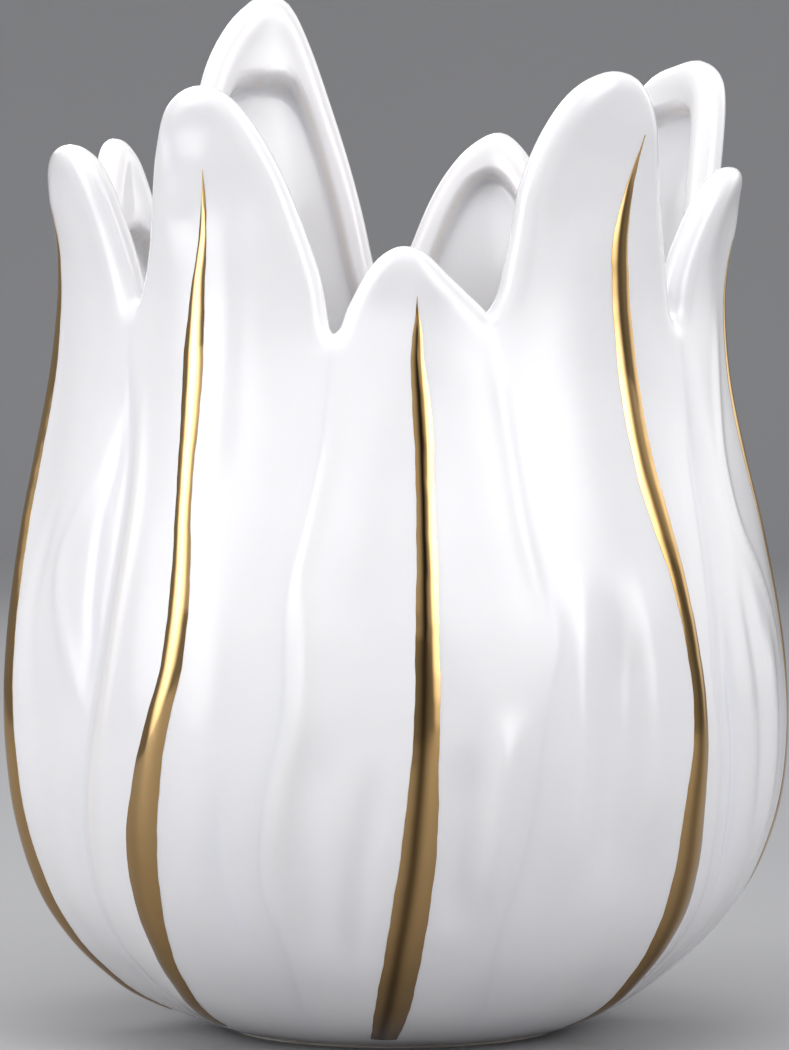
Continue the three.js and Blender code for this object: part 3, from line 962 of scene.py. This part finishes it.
@dataclass(frozen=True)
class GoldLustre:
    """Fired gold lustre, brushed on by hand along the raised line.

    Attributes:
        bright, dull: Its colour, and that of its brush marks.
        painted_low_reflection: Painted dark reflection, a darker gold towards the foot.
        painted_reflection_colour: Its colour in the painted dark reflection along the line.
        painted_low_heights: Heights between which that painted dark reflection gives way.
        painted_low_share: Share of the painted dark reflection at the foot.
        roughness: Lowest and highest.
        brush: Pattern of the brush marks.
        brush_tone: Lowest and highest value of that pattern that count for the colour.
        ripples: Pattern of the ripples.
        ripple_depth, ripple_strength: Their depth, and how much of them shows.
    """

    bright: Triple = (0.84, 0.57, 0.27)
    dull: Triple = (0.66, 0.42, 0.17)
    painted_low_reflection: Triple = (0.33, 0.205, 0.09)
    painted_reflection_colour: Triple = (0.10, 0.06, 0.025)
    painted_low_heights: Span = (0.035, 0.105)
    painted_low_share: float = 0.8
    roughness: Span = (0.07, 0.15)
    brush: Grain = Grain(70.0, 5.0, 0.12)
    brush_tone: Span = (0.35, 0.65)
    ripples: Grain = Grain(90.0, 3.0, 0.3)
    ripple_depth: float = 0.0002
    ripple_strength: float = 0.4

    def build(self) -> Material:
        """Makes the gold's material.

        Returns:
            The material.
        """
        material, tree, shader = new_material("gold_lustre")
        brush = add_noise(tree, self.brush)
        base = add_mix(tree, add_range(tree, brush, self.brush_tone), self.bright, self.dull)
        # Painted dark reflection: the gold is darkened towards the foot, as if it reflected a dark floor.
        low = add_range(tree, add_axis(tree, "Object", "Z"), self.painted_low_heights, (self.painted_low_share, 0.0))
        base = add_mix(tree, low, base, self.painted_low_reflection)
        # Painted dark reflection: a dark band along the line stands in for the dark room that the gold
        # reflects.
        base = add_tint(tree, "painted_reflection", base, self.painted_reflection_colour)
        tree.links.new(base, shader.inputs["Base Color"])
        gloss = add_range(tree, brush, self.brush.span, self.roughness)
        tree.links.new(gloss, shader.inputs["Roughness"])
        add_bump(tree, shader, add_noise(tree, self.ripples), self.ripple_depth, self.ripple_strength)
        shader.inputs["Metallic"].default_value = 1.0
        return material


@dataclass(frozen=True)
class Bisque:
    """Bare fired porcelain of the foot, matt and slightly grainy.

    Attributes:
        clean, worn: Its colour, and that of its stains.
        roughness: Lowest and highest.
        grain, stain: Patterns of the grain and of the stains.
        grain_depth, grain_strength: Depth of the grain, and how much of it shows.
    """

    clean: Triple = (0.72, 0.68, 0.61)
    worn: Triple = (0.55, 0.50, 0.43)
    roughness: Span = (0.75, 0.95)
    grain: Grain = Grain(900.0, 4.0)
    stain: Grain = Grain(60.0, 4.0, 1.0, (0.45, 0.7))
    grain_depth: float = 0.0002
    grain_strength: float = 0.5

    def build(self) -> Material:
        """Makes the bare clay's material.

        Returns:
            The material.
        """
        material, tree, shader = new_material("bisque")
        grain = add_noise(tree, self.grain)
        stain = add_range(tree, add_noise(tree, self.stain), self.stain.span)
        tree.links.new(add_mix(tree, stain, self.clean, self.worn), shader.inputs["Base Color"])
        rough = add_range(tree, grain, self.grain.span, self.roughness)
        tree.links.new(rough, shader.inputs["Roughness"])
        add_bump(tree, shader, grain, self.grain_depth, self.grain_strength)
        return material


@dataclass(frozen=True)
class StudioPaint:
    """Pale matt paint of the floor.

    Attributes:
        colour: Its colour.
        darker: Share of it left in its darker clouds.
        clouds: Their pattern.
        roughness: Roughness of the paint.
    """

    colour: Triple = (0.37, 0.37, 0.38)
    darker: float = 0.985
    clouds: Grain = Grain(3.0, 2.0)
    roughness: float = 0.6

    def build(self) -> Material:
        """Makes the floor's material.

        Returns:
            The material.
        """
        material, tree, shader = new_material("studio_floor")
        clouds = add_range(tree, add_noise(tree, self.clouds), self.clouds.span)
        darker = tuple(channel * self.darker for channel in self.colour)
        tree.links.new(add_mix(tree, clouds, self.colour, darker), shader.inputs["Base Color"])
        shader.inputs["Roughness"].default_value = self.roughness
        return material


# ---------------------------------------------------------------- pieces


def select_only(*objects: Object) -> None:
    """Deselects everything, then selects these objects and makes the first active.

    Args:
        objects: The objects.
    """
    bpy.ops.object.select_all(action="DESELECT")
    for item in objects:
        item.select_set(True)
    bpy.context.view_layer.objects.active = objects[0]


def finish_piece(piece: Object, name: str, material: Material, slot: Slot) -> None:
    """Names a piece, dresses it, hides its node and hangs it under the root.

    Args:
        piece: The finished piece.
        name: Node that it stands for, and its own name.
        material: Its finish.
        slot: Its kind of finish, which picks the ending of its name.
    """
    piece.name = f"{name}_glazed" if slot is Slot.GLAZE else f"{name}_finished"
    piece.data.materials.clear()
    piece.data.materials.append(material)
    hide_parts(name)
    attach(piece, ROOT)
    LOG.info("%s: %d faces", piece.name, len(piece.data.polygons))


def raise_slab(columns: int, rows: int) -> Object:
    """Makes a flat slab of clay, gridded on both faces.

    Args:
        columns: Cells across it.
        rows: Cells up it.

    Returns:
        The slab: x and y run from 0 to 1, and z is 0 on one face and 1 on the other.
    """
    bpy.ops.object.select_all(action="DESELECT")
    bpy.ops.mesh.primitive_grid_add(
        x_subdivisions=columns, y_subdivisions=rows, size=1.0, location=(0.5, 0.5, 0.0)
    )
    slab = bpy.context.active_object
    bpy.ops.object.transform_apply(location=True, rotation=True, scale=True)
    bpy.ops.object.mode_set(mode="EDIT")
    bpy.ops.mesh.select_all(action="SELECT")
    bpy.ops.mesh.extrude_region_move(TRANSFORM_OT_translate={"value": (0.0, 0.0, 1.0)})
    bpy.ops.mesh.select_all(action="SELECT")
    bpy.ops.mesh.normals_make_consistent(inside=False)
    bpy.ops.object.mode_set(mode="OBJECT")
    return slab


def flat_places(piece: Object) -> Array:
    """Reads where the vertices of a mesh are.

    Args:
        piece: The piece with the mesh.

    Returns:
        An array with a row of x, y and z for each vertex.
    """
    places = np.empty(len(piece.data.vertices) * 3)
    piece.data.vertices.foreach_get("co", places)
    return places.reshape(-1, 3)


def set_places(piece: Object, places: Array) -> None:
    """Moves the vertices of a mesh to new places."""
    piece.data.vertices.foreach_set("co", places.ravel())
    piece.data.update()


def on_top(flat: Array) -> Array:
    """Which vertices of a raised slab are on its upper face."""
    return flat[:, 2] > 0.5


def store_shade(piece: Object, name: str, values: Array) -> None:
    """Stores one number at each vertex of a mesh for its material to read."""
    layer = piece.data.attributes.new(name, "FLOAT", "POINT")
    layer.data.foreach_set("value", np.clip(values, 0.0, 1.0))


@dataclass
class Leaf:
    """One leaf of the body, with its lip, its hollow inside and its folds.

    Attributes:
        index: Which leaf of the ring.
        columns: Cells across it.
        rows: Cells up it.
        crowding: How strongly the rows crowd towards the lip.
        side_crowding: How strongly the columns crowd towards the seams.
        inside_relief: Share of the outer face's relief that shows inside.
        pooled_seam: How strongly glaze pools along a seam.
        thin_fold: How thin it runs over a fold, for each millimetre of its height.
        narrow_fold: Reach below which a fold is sharp enough for either.
        thin_lip, thin_lip_at, thin_lip_reach: How thin it runs over the lip, where and how wide.
        thin_lip_outside: Share of that on the outer face.
        thin_step, thin_step_at, thin_step_reach: The same for the step inside.
    """

    index: int
    columns: int = 96
    rows: int = 100
    crowding: float = 1.6
    side_crowding: float = 0.08
    inside_relief: float = 0.25
    pooled_seam: float = 0.25
    thin_fold: float = 0.35
    narrow_fold: float = 2.5
    thin_lip: float = 0.07
    thin_lip_at: float = 2.0
    thin_lip_reach: float = 1.6
    thin_lip_outside: float = 0.5
    thin_step: float = 0.5
    thin_step_at: float = 0.5
    thin_step_reach: float = 0.35

    def build(self) -> Object:
        """Raises a slab and shapes it into the leaf.

        Returns:
            The leaf.
        """
        self.piece = raise_slab(self.columns, self.rows)
        self.flat = flat_places(self.piece)
        self.outside = on_top(self.flat)
        share = self.flat[:, 0] - self.side_crowding * np.sin(2 * np.pi * self.flat[:, 0])
        up = 1.0 - (1.0 - self.flat[:, 1]) ** self.crowding
        spots = BODY.measure(self.index, *self.spread(share, up))
        # The top row of cells ends at the lip itself.
        spots.distance[self.flat[:, 1] > 1.0 - 0.5 / self.rows] = 0.0
        relief = BODY.relief(spots)
        rounding = BODY.lip_round(spots.distance)
        step = BODY.hollow(spots)
        half = BODY.lip / 2
        outer = relief + rounding - half
        inside = self.inside_relief + (1.0 - self.inside_relief) * bump(spots.distance, BODY.lip)
        inner = relief * inside - rounding - half + step * (BODY.lip - BODY.wall)
        set_places(self.piece, BODY.place(spots, np.where(self.outside, outer, inner)))
        self.shade(spots, step)
        select_only(self.piece)
        bpy.ops.object.shade_smooth()
        return self.piece

    def spread(self, share: Array, up: Array) -> tuple[Array, Array]:
        """Spreads the slab's grid over the leaf.

        Args:
            share: Shares across the leaf, from 0 to 1.
            up: Shares up the leaf, from 0 to 1.

        Returns:
            Degrees and lengths up the body.
        """
        fine = np.linspace(0.0, 1.0, CURVE_SAMPLES)
        edge = BODY.edge_line(self.index, fine)
        rim_degrees = np.interp(share, fine, edge[:, 0])
        rim_length = np.interp(share, fine, edge[:, 1])
        plain_degrees = edge[0, 0] + (edge[-1, 0] - edge[0, 0]) * share
        plain_length = edge[0, 1] + (edge[-1, 1] - edge[0, 1]) * share
        left = BODY.seam_degrees(self.index, up * edge[0, 1])
        right = BODY.seam_degrees(self.index + 1, up * edge[-1, 1])
        swell = up**2
        degrees = left + (right - left) * share + swell * (rim_degrees - plain_degrees)
        length = up * plain_length + swell * (rim_length - plain_length)
        return degrees, length

    def shade(self, spots: Spots, step: Array) -> None:
        """Marks where the glaze runs thin over an edge, where it pools, and what is inside.

        Args:
            spots: Places of the vertices.
            step: How far the hollow has stepped down at them.
        """
        pooled = np.zeros(len(step))
        thin = np.zeros(len(step))
        for fold in FOLDS:
            if fold.reach < self.narrow_fold:
                lift = fold.lift(spots)
                pooled += np.maximum(-lift, 0.0)
                thin += self.thin_fold * np.maximum(lift, 0.0)
        for seam, leaf in zip(BODY.seams, LEAVES):
            across = spots.across(seam.value(spots.length))
            below = ease((seam.top - spots.length) / BODY.seam_fade)
            pooled += below * leaf.fold * self.pooled_seam * bump(across, BODY.crease_reach)
        lip = self.thin_lip * bump(spots.distance - self.thin_lip_at, self.thin_lip_reach)
        brink = self.thin_step * bump(step - self.thin_step_at, self.thin_step_reach)
        outer = self.thin_lip_outside * lip + thin
        store_shade(self.piece, "thin", np.where(self.outside, outer, lip + brink))
        store_shade(self.piece, "pooled", pooled * self.outside)
        # Painted shade: marks the hollow inside for its greyer glaze.
        store_shade(self.piece, "inside", step * ~self.outside)

    def on_side(self, right: bool) -> Array:
        """The vertices along one side of the leaf.

        Args:
            right: Whether it is the right side.

        Returns:
            Their numbers, first inside and then outside, each from the foot up.
        """
        here = np.nonzero(np.abs(self.flat[:, 0] - float(right)) < 0.5 / self.columns)[0]
        order = np.lexsort((self.flat[here, 1], self.flat[here, 2]))
        return here[order]


@dataclass
class GildedLine:
    """The raised, gilded line of one leaf, crowned across and pointed at its top.

    Attributes:
        index: Which leaf it is on.
        rows: Cells along it.
        across: Cells across it.
        sink: How far its underside sits in the glaze.
        edge: How far its edges stand above the glaze.
        crown: Height of its middle, per millimetre of width.
        fade_height: Height below which the crown dies away.
        point: Share of its length over which the brush was lifted.
        tip: How blunt its point is.
        tremble: Waves of the hand along its edges, as (size, pitch, phase).
        sides: How far one edge's waves run ahead of the other's.
        painted_reflection_at, painted_reflection_reach: Place and reach of the painted dark reflection, in
        half widths.
        painted_reflection_width: Width of line at which the painted dark reflection is full.
        keep_edge: Angle above which an edge stays sharp.
    """

    index: int
    rows: int = 240
    across: int = 14
    sink: float = 0.5
    edge: float = 0.10
    crown: float = 0.065
    fade_height: float = 14.0
    point: float = 0.06
    tip: float = 0.12
    tremble: Rows = ((0.16, 0.21, 0.3), (0.12, 0.47, 1.7), (0.06, 1.1, 4.0))
    sides: float = 1.3
    painted_reflection_at: float = -0.28
    painted_reflection_reach: float = 0.34
    painted_reflection_width: float = 4.0
    keep_edge: float = math.radians(50)

    def build(self) -> Object:
        """Raises a slab and lays it along the leaf's crest.

        Returns:
            The line.
        """
        line = raise_slab(self.across, self.rows)
        flat = flat_places(line)
        track = BODY.gilds[self.index]
        length = track.bottom + (track.top - track.bottom) * flat[:, 1]
        radius = PROFILE.radius_at(length)
        width = track.value(length, 2) * ease((1.0 - flat[:, 1]) / self.point + self.tip)
        side = 2.0 * flat[:, 0] - 1.0
        for size, pitch, phase in self.tremble:
            width += size * np.sin(length * pitch + phase + self.index + self.sides * np.sign(side))
        degrees = track.value(length) + np.degrees(side * width / 2.0 / radius)
        spots = BODY.measure(self.index, degrees, length)
        face = BODY.relief(spots) + BODY.lip_round(spots.distance) - BODY.lip / 2
        fade = np.minimum(1.0, spots.height / self.fade_height)
        dome = self.edge + self.crown * width * fade * (1.0 - side**2)
        set_places(line, BODY.place(spots, face + np.where(on_top(flat), dome, -self.sink)))
        # Painted dark reflection: marks a dark band left of the line's middle, for the gold to be painted
        # darker there.
        painted_reflection = bump(side - self.painted_reflection_at, self.painted_reflection_reach) * ease(width / self.painted_reflection_width)
        store_shade(line, "painted_reflection", LEAVES[self.index].painted_reflection * painted_reflection)
        select_only(line)
        bpy.ops.object.shade_smooth_by_angle(angle=self.keep_edge)
        return line


@dataclass
class LeafRing:
    """The ring of leaves with their gilded lines.

    Attributes:
        glaze, gold: Their finishes.
    """

    glaze: Material
    gold: Material

    def build(self) -> None:
        """Makes every leaf and every line, and lets the glaze run on from leaf to leaf."""
        self.leaves = [Leaf(index) for index in range(len(LEAVES))]
        for leaf, plan in zip(self.leaves, LEAVES):
            finish_piece(leaf.build(), plan.name, self.glaze, Slot.GLAZE)
        self.join_shading()
        for index in range(len(LEAVES)):
            finish_piece(GildedLine(index).build(), f"gold_line_{index + 1}", self.gold, Slot.GOLD)

    def join_shading(self) -> None:
        """Gives two leaves that meet the same shading along their seam."""
        normals = [face_normals(leaf) for leaf in self.leaves]
        for index, leaf in enumerate(self.leaves):
            following = (index + 1) % len(self.leaves)
            mine, theirs = leaf.on_side(True), self.leaves[following].on_side(False)
            shared = normals[index][mine] + normals[following][theirs]
            normals[index][mine] = shared
            normals[following][theirs] = shared
        for leaf, sums in zip(self.leaves, normals):
            shade_by(leaf, sums)


def wall_corners(leaf: Leaf) -> tuple[Array, Array, Array]:
    """Which face corners of a leaf lie on its hidden side walls.

    Args:
        leaf: The leaf.

    Returns:
        For each corner its vertex, its face and whether that face is a hidden wall.
    """
    mesh = leaf.piece.data
    vertices = np.empty(len(mesh.loops), dtype=int)
    mesh.loops.foreach_get("vertex_index", vertices)
    counts = np.empty(len(mesh.polygons), dtype=int)
    mesh.polygons.foreach_get("loop_total", counts)
    faces = np.repeat(np.arange(len(counts)), counts)
    sided = np.zeros(len(mesh.vertices))
    sided[np.concatenate([leaf.on_side(False), leaf.on_side(True)])] = 1.0
    on_side = np.bincount(faces, weights=sided[vertices], minlength=len(counts))
    return vertices, faces, (on_side == counts)[faces]


def face_vectors(leaf: Leaf, weighted: bool) -> Array:
    """Reads the normals of a leaf's faces.

    Args:
        leaf: The leaf.
        weighted: Whether each gets the area of its face as its length.

    Returns:
        An array with a row of x, y and z for each face.
    """
    mesh = leaf.piece.data
    normals = np.empty(len(mesh.polygons) * 3)
    mesh.polygons.foreach_get("normal", normals)
    normals = normals.reshape(-1, 3)
    if weighted:
        areas = np.empty(len(mesh.polygons))
        mesh.polygons.foreach_get("area", areas)
        normals = normals * areas[:, None]
    return normals


def face_normals(leaf: Leaf) -> Array:
    """Sums the normals of the visible faces round each vertex of a leaf.

    Args:
        leaf: The leaf.

    Returns:
        An array with a row of x, y and z for each vertex.
    """
    vertices, faces, walls = wall_corners(leaf)
    sums = np.zeros((len(leaf.piece.data.vertices), 3))
    vectors = face_vectors(leaf, weighted=True)
    np.add.at(sums, vertices[~walls], vectors[faces[~walls]])
    return sums


def shade_by(leaf: Leaf, sums: Array) -> None:
    """Gives a leaf its shading from summed normals, flat on its hidden walls.

    Args:
        leaf: The leaf.
        sums: The summed normal of each vertex.
    """
    vertices, faces, walls = wall_corners(leaf)
    unit = sums / np.maximum(np.linalg.norm(sums, axis=1), TINY)[:, None]
    chosen = np.where(walls[:, None], face_vectors(leaf, weighted=False)[faces], unit[vertices])
    leaf.piece.data.normals_split_custom_set(chosen.tolist())


@dataclass
class Base:
    """The closed floor inside the ring of leaves and the bare foot ring under it.

    Attributes:
        glaze, bisque: Their finishes.
        steps: Cells round them.
        overlap: How far the floor's glaze runs into the wall round it.
        taper: How fast the floor narrows upwards.
        dish: How far the middle of the floor sinks.
        top_rings, under_rings: Rings drawn into it, each as its size beside the last ring and
            its rise from that in dishes.
        floor_round, floor_cells: Radius of its edges, and the cells across them.
        foot_width: Width of the foot ring.
        foot_round, foot_cells: Radius of the foot ring's edges, and the cells across them.
    """

    glaze: Material
    bisque: Material
    steps: int = 144
    overlap: float = 0.45 * MM
    taper: float = 0.32
    dish: float = 0.6 * MM
    top_rings: Rows = ((0.94, 0.0), (0.80, -0.6), (0.45, -0.4))
    under_rings: Rows = ((0.74, 0.0), (0.97, 1.0), (0.5, 0.0))
    floor_round: float = 0.3 * MM
    floor_cells: int = 2
    foot_width: float = 8.0 * MM
    foot_round: float = 0.8 * MM
    foot_cells: int = 3

    def build(self) -> None:
        """Makes the floor and the foot ring."""
        finish_piece(self.build_floor(), "floor_disc", self.glaze, Slot.GLAZE)
        finish_piece(self.build_foot(), "foot_ring", self.bisque, Slot.BISQUE)

    def build_floor(self) -> Object:
        """Makes the floor, tapered to the wall, dished above and hollowed underneath.

        Returns:
            The floor.
        """
        low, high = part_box("floor_disc")
        radius = high.x + self.overlap
        thick = high.z - low.z
        bpy.ops.object.select_all(action="DESELECT")
        bpy.ops.mesh.primitive_cylinder_add(
            vertices=self.steps, radius=radius, depth=thick, location=(0.0, 0.0, (low.z + high.z) / 2)
        )
        disc = bpy.context.active_object
        place_in_mesh(disc)
        taper = (radius - thick * self.taper) / radius
        edit_caps(disc, high.z, self.dished(((taper, 0.0), *self.top_rings)))
        edit_caps(disc, low.z, self.dished(self.under_rings))
        round_edges(disc, self.floor_round, self.floor_cells)
        return disc

    def dished(self, rings: Rows) -> list[Span]:
        """Rings with their rises in metres."""
        return [(share, rise * self.dish) for share, rise in rings]

    def build_foot(self) -> Object:
        """Makes the foot ring from a circle drawn out round its section.

        Returns:
            The foot ring.
        """
        low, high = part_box("foot_ring")
        outer = high.x + self.overlap
        inner = outer - self.foot_width
        wider = outer / inner
        rise = high.z - low.z + self.overlap
        bpy.ops.object.select_all(action="DESELECT")
        bpy.ops.mesh.primitive_circle_add(vertices=self.steps, radius=inner, location=(0.0, 0.0, low.z))
        ring = bpy.context.active_object
        place_in_mesh(ring)
        bpy.ops.object.mode_set(mode="EDIT")
        bpy.ops.mesh.select_all(action="SELECT")
        bpy.ops.mesh.extrude_edges_move()
        bpy.ops.transform.resize(value=(wider, wider, 1.0), center_override=(0.0, 0.0, 0.0))
        bpy.ops.mesh.select_all(action="SELECT")
        bpy.ops.mesh.extrude_region_move(TRANSFORM_OT_translate={"value": (0.0, 0.0, rise)})
        bpy.ops.mesh.select_all(action="SELECT")
        bpy.ops.mesh.normals_make_consistent(inside=False)
        bpy.ops.object.mode_set(mode="OBJECT")
        round_edges(ring, self.foot_round, self.foot_cells)
        return ring


def place_in_mesh(piece: Object) -> None:
    """Puts an object's place into its mesh, so that the object sits at the origin."""
    select_only(piece)
    bpy.ops.object.transform_apply(location=True, rotation=True, scale=True)


def edit_caps(piece: Object, height: float, rings: list[Span]) -> None:
    """Draws rings into the flat end of a round piece.

    Args:
        piece: The piece.
        height: Height of the end.
        rings: For each ring inwards, its size beside the last one and its rise from that.
            The first only resizes the end.
    """
    select_only(piece)
    bpy.ops.object.mode_set(mode="EDIT")
    bpy.ops.mesh.select_all(action="DESELECT")
    bpy.ops.object.mode_set(mode="OBJECT")
    for face in piece.data.polygons:
        level = abs(face.center.z - height) < SAME_HEIGHT
        face.select = level and abs(face.normal.z) > NEARLY_FLAT
    bpy.ops.object.mode_set(mode="EDIT")
    for number, (share, rise) in enumerate(rings):
        if number:
            bpy.ops.mesh.extrude_region_move(TRANSFORM_OT_translate={"value": (0.0, 0.0, rise)})
        bpy.ops.transform.resize(value=(share, share, 1.0), center_override=(0.0, 0.0, 0.0))
    bpy.ops.object.mode_set(mode="OBJECT")


def round_edges(piece: Object, radius: float, segments: int) -> None:
    """Rounds the sharp edges of a piece and smooths its shading.

    Args:
        piece: The piece.
        radius: Radius of the rounding.
        segments: Cells across it.
    """
    select_only(piece)
    bevel = piece.modifiers.new("rounded", "BEVEL")
    bevel.width = radius
    bevel.segments = segments
    bevel.limit_method = "ANGLE"
    bevel.angle_limit = SHARP_EDGE
    bpy.ops.object.modifier_apply(modifier=bevel.name)
    bpy.ops.object.shade_smooth_by_angle(angle=SMOOTH_EDGE)


# ---------------------------------------------------------------- studio


@dataclass(frozen=True)
class Softbox:
    """A large soft light that faces the vase.

    Attributes:
        name: What it is called.
        place: Where it stands, in metres.
        size: Its width and height.
        power: Its power in watts.
        tint: Its colour.
        aim: Where it points.
    """

    name: str
    place: Triple
    size: Span
    power: float
    tint: Triple = (1.0, 1.0, 1.0)
    aim: Triple = (0.0, 0.0, 0.12)

    def build(self) -> None:
        """Adds the light to the scene."""
        bpy.ops.object.select_all(action="DESELECT")
        bpy.ops.object.light_add(type="AREA", location=self.place)
        lamp = bpy.context.active_object
        lamp.name = self.name
        lamp.rotation_euler = facing(self.place, self.aim)
        self.soften(lamp.data)
        lamp.data.shape = "RECTANGLE"
        lamp.data.size, lamp.data.size_y = self.size
        lamp.data.energy = self.power
        lamp.data.color = self.tint

    @staticmethod
    def soften(lamp: Light) -> None:
        """Lets the light fall away towards its edges, as a lamp behind cloth does.

        Args:
            lamp: The lamp.
        """
        lamp.use_nodes = True
        tree = lamp.node_tree
        emission = tree.nodes["Emission"]
        place = tree.nodes.new("ShaderNodeNewGeometry")
        mapping = tree.nodes.new("ShaderNodeMapping")
        mapping.inputs["Location"].default_value = (-1.0, -1.0, 0.0)
        mapping.inputs["Scale"].default_value = (2.0, 2.0, 0.0)
        gradient = tree.nodes.new("ShaderNodeTexGradient")
        gradient.gradient_type = "SPHERICAL"
        tree.links.new(place.outputs["Parametric"], mapping.inputs["Vector"])
        tree.links.new(mapping.outputs["Vector"], gradient.inputs["Vector"])
        tree.links.new(gradient.outputs["Fac"], emission.inputs["Strength"])


def facing(place: Triple, aim: Triple) -> Euler:
    """Rotation that turns a light or a camera at a place towards its aim."""
    return (Vector(aim) - Vector(place)).to_track_quat("-Z", "Y").to_euler()


@dataclass
class Studio:
    """The floor, the lights and the camera.

    Attributes:
        floor_radius, floor_steps: Radius of the flat part of the floor, and the cells round it.
        cove, cove_steps: Radius of the curve that ends it, and the cells up it.
        sky: Colour of the room.
        sky_strength: Brightness of the room.
        sky_front: Share of that brightness left in the dark band behind the camera.
        sky_beside: Sideways parts of a direction over which the band brightens.
        sky_behind: Backward parts of a direction over which it brightens.
        camera_place, camera_aim: Where the camera stands and points.
        lens, sensor: Focal length and height of the camera's sensor, in millimetres.
        softboxes: The lights.
    """

    floor_radius: float = 2.2
    floor_steps: int = 128
    cove: float = 0.7
    cove_steps: int = 12
    sky: Triple = (0.96, 0.97, 1.0)
    sky_strength: float = 0.57
    sky_front: float = 0.12
    sky_beside: Span = (0.03, 0.24)
    sky_behind: Span = (-0.4, 0.1)
    camera_place: Triple = (0.0, -1.25, 0.175)
    camera_aim: Triple = (0.0, 0.0, 0.120)
    lens: float = 119.9
    sensor: float = 24.0
    softboxes: tuple[Softbox, ...] = (
        Softbox("left_softbox", (-1.2, -0.55, 0.5), (1.5, 1.7), 39.0),
        Softbox("front_right_softbox", (1.0, -1.0, 0.7), (1.3, 1.7), 33.0),
        Softbox("back_right_softbox", (1.1, 0.75, 0.55), (1.1, 1.4), 8.0),
        Softbox("top_softbox", (0.0, -0.3, 1.4), (1.7, 1.4), 40.0),
        Softbox("back_softbox", (-0.5, 1.4, 0.8), (1.4, 0.9), 12.0),
    )

    def build(self) -> None:
        """Sets up the whole studio."""
        self.build_floor()
        self.build_sky()
        for softbox in self.softboxes:
            softbox.build()
        self.build_camera()

    def build_floor(self) -> None:
        """Lays the floor and turns its far edge up all round."""
        bpy.ops.object.select_all(action="DESELECT")
        bpy.ops.mesh.primitive_circle_add(
            vertices=self.floor_steps, radius=self.floor_radius, fill_type="NGON"
        )
        floor = bpy.context.active_object
        bpy.ops.object.mode_set(mode="EDIT")
        bpy.ops.mesh.select_all(action="DESELECT")
        bpy.ops.mesh.select_mode(type="EDGE")
        bpy.ops.mesh.select_non_manifold()
        for step in range(1, self.cove_steps + 1):
            angle = 0.5 * math.pi * step / self.cove_steps
            before = 0.5 * math.pi * (step - 1) / self.cove_steps
            radius, last = (self.floor_radius + self.cove * math.sin(turn) for turn in (angle, before))
            wider = radius / last
            rise = self.cove * (math.cos(before) - math.cos(angle))
            bpy.ops.mesh.extrude_edges_move(TRANSFORM_OT_translate={"value": (0.0, 0.0, rise)})
            bpy.ops.transform.resize(value=(wider, wider, 1.0), center_override=(0.0, 0.0, 0.0))
        bpy.ops.object.mode_set(mode="OBJECT")
        bpy.ops.object.shade_smooth_by_angle(angle=SMOOTH_EDGE)
        floor.name = "studio_floor"
        floor.data.materials.append(StudioPaint().build())

    def build_sky(self) -> None:
        """Fills the room with even light, but for a dark band behind the camera."""
        world = bpy.data.worlds.new("studio_room")
        world.use_nodes = True
        tree = world.node_tree
        background = tree.nodes["Background"]
        background.inputs["Color"].default_value = (*self.sky, 1.0)
        shades = (self.sky_front * self.sky_strength, self.sky_strength)
        across = add_maths(tree, "ABSOLUTE", add_axis(tree, "Generated", "X"))
        beside = add_range(tree, across, self.sky_beside, shades)
        behind = add_range(tree, add_axis(tree, "Generated", "Y"), self.sky_behind, shades)
        brightness = add_maths(tree, "MAXIMUM", beside, behind)
        tree.links.new(brightness, background.inputs["Strength"])
        bpy.context.scene.world = world

    def build_camera(self) -> None:
        """Stands the camera just above the notches, looking slightly down."""
        rotation = facing(self.camera_place, self.camera_aim)
        bpy.ops.object.camera_add(location=self.camera_place, rotation=rotation)
        camera = bpy.context.active_object
        camera.data.sensor_fit = "VERTICAL"
        camera.data.sensor_height = self.sensor
        camera.data.lens = self.lens
        scene = bpy.context.scene
        scene.camera = camera
        scene.view_settings.view_transform = "Standard"


def main() -> None:
    """Builds the vase, from its foot to its leaves, and the studio round it."""
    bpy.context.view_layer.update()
    glaze = PorcelainGlaze().build()
    gold = GoldLustre().build()
    bisque = Bisque().build()
    Base(glaze, bisque).build()
    LeafRing(glaze, gold).build()
    Studio().build()


if __name__ == "__main__":
    logging.basicConfig(level=logging.INFO, format="%(name)s: %(message)s")
    main()
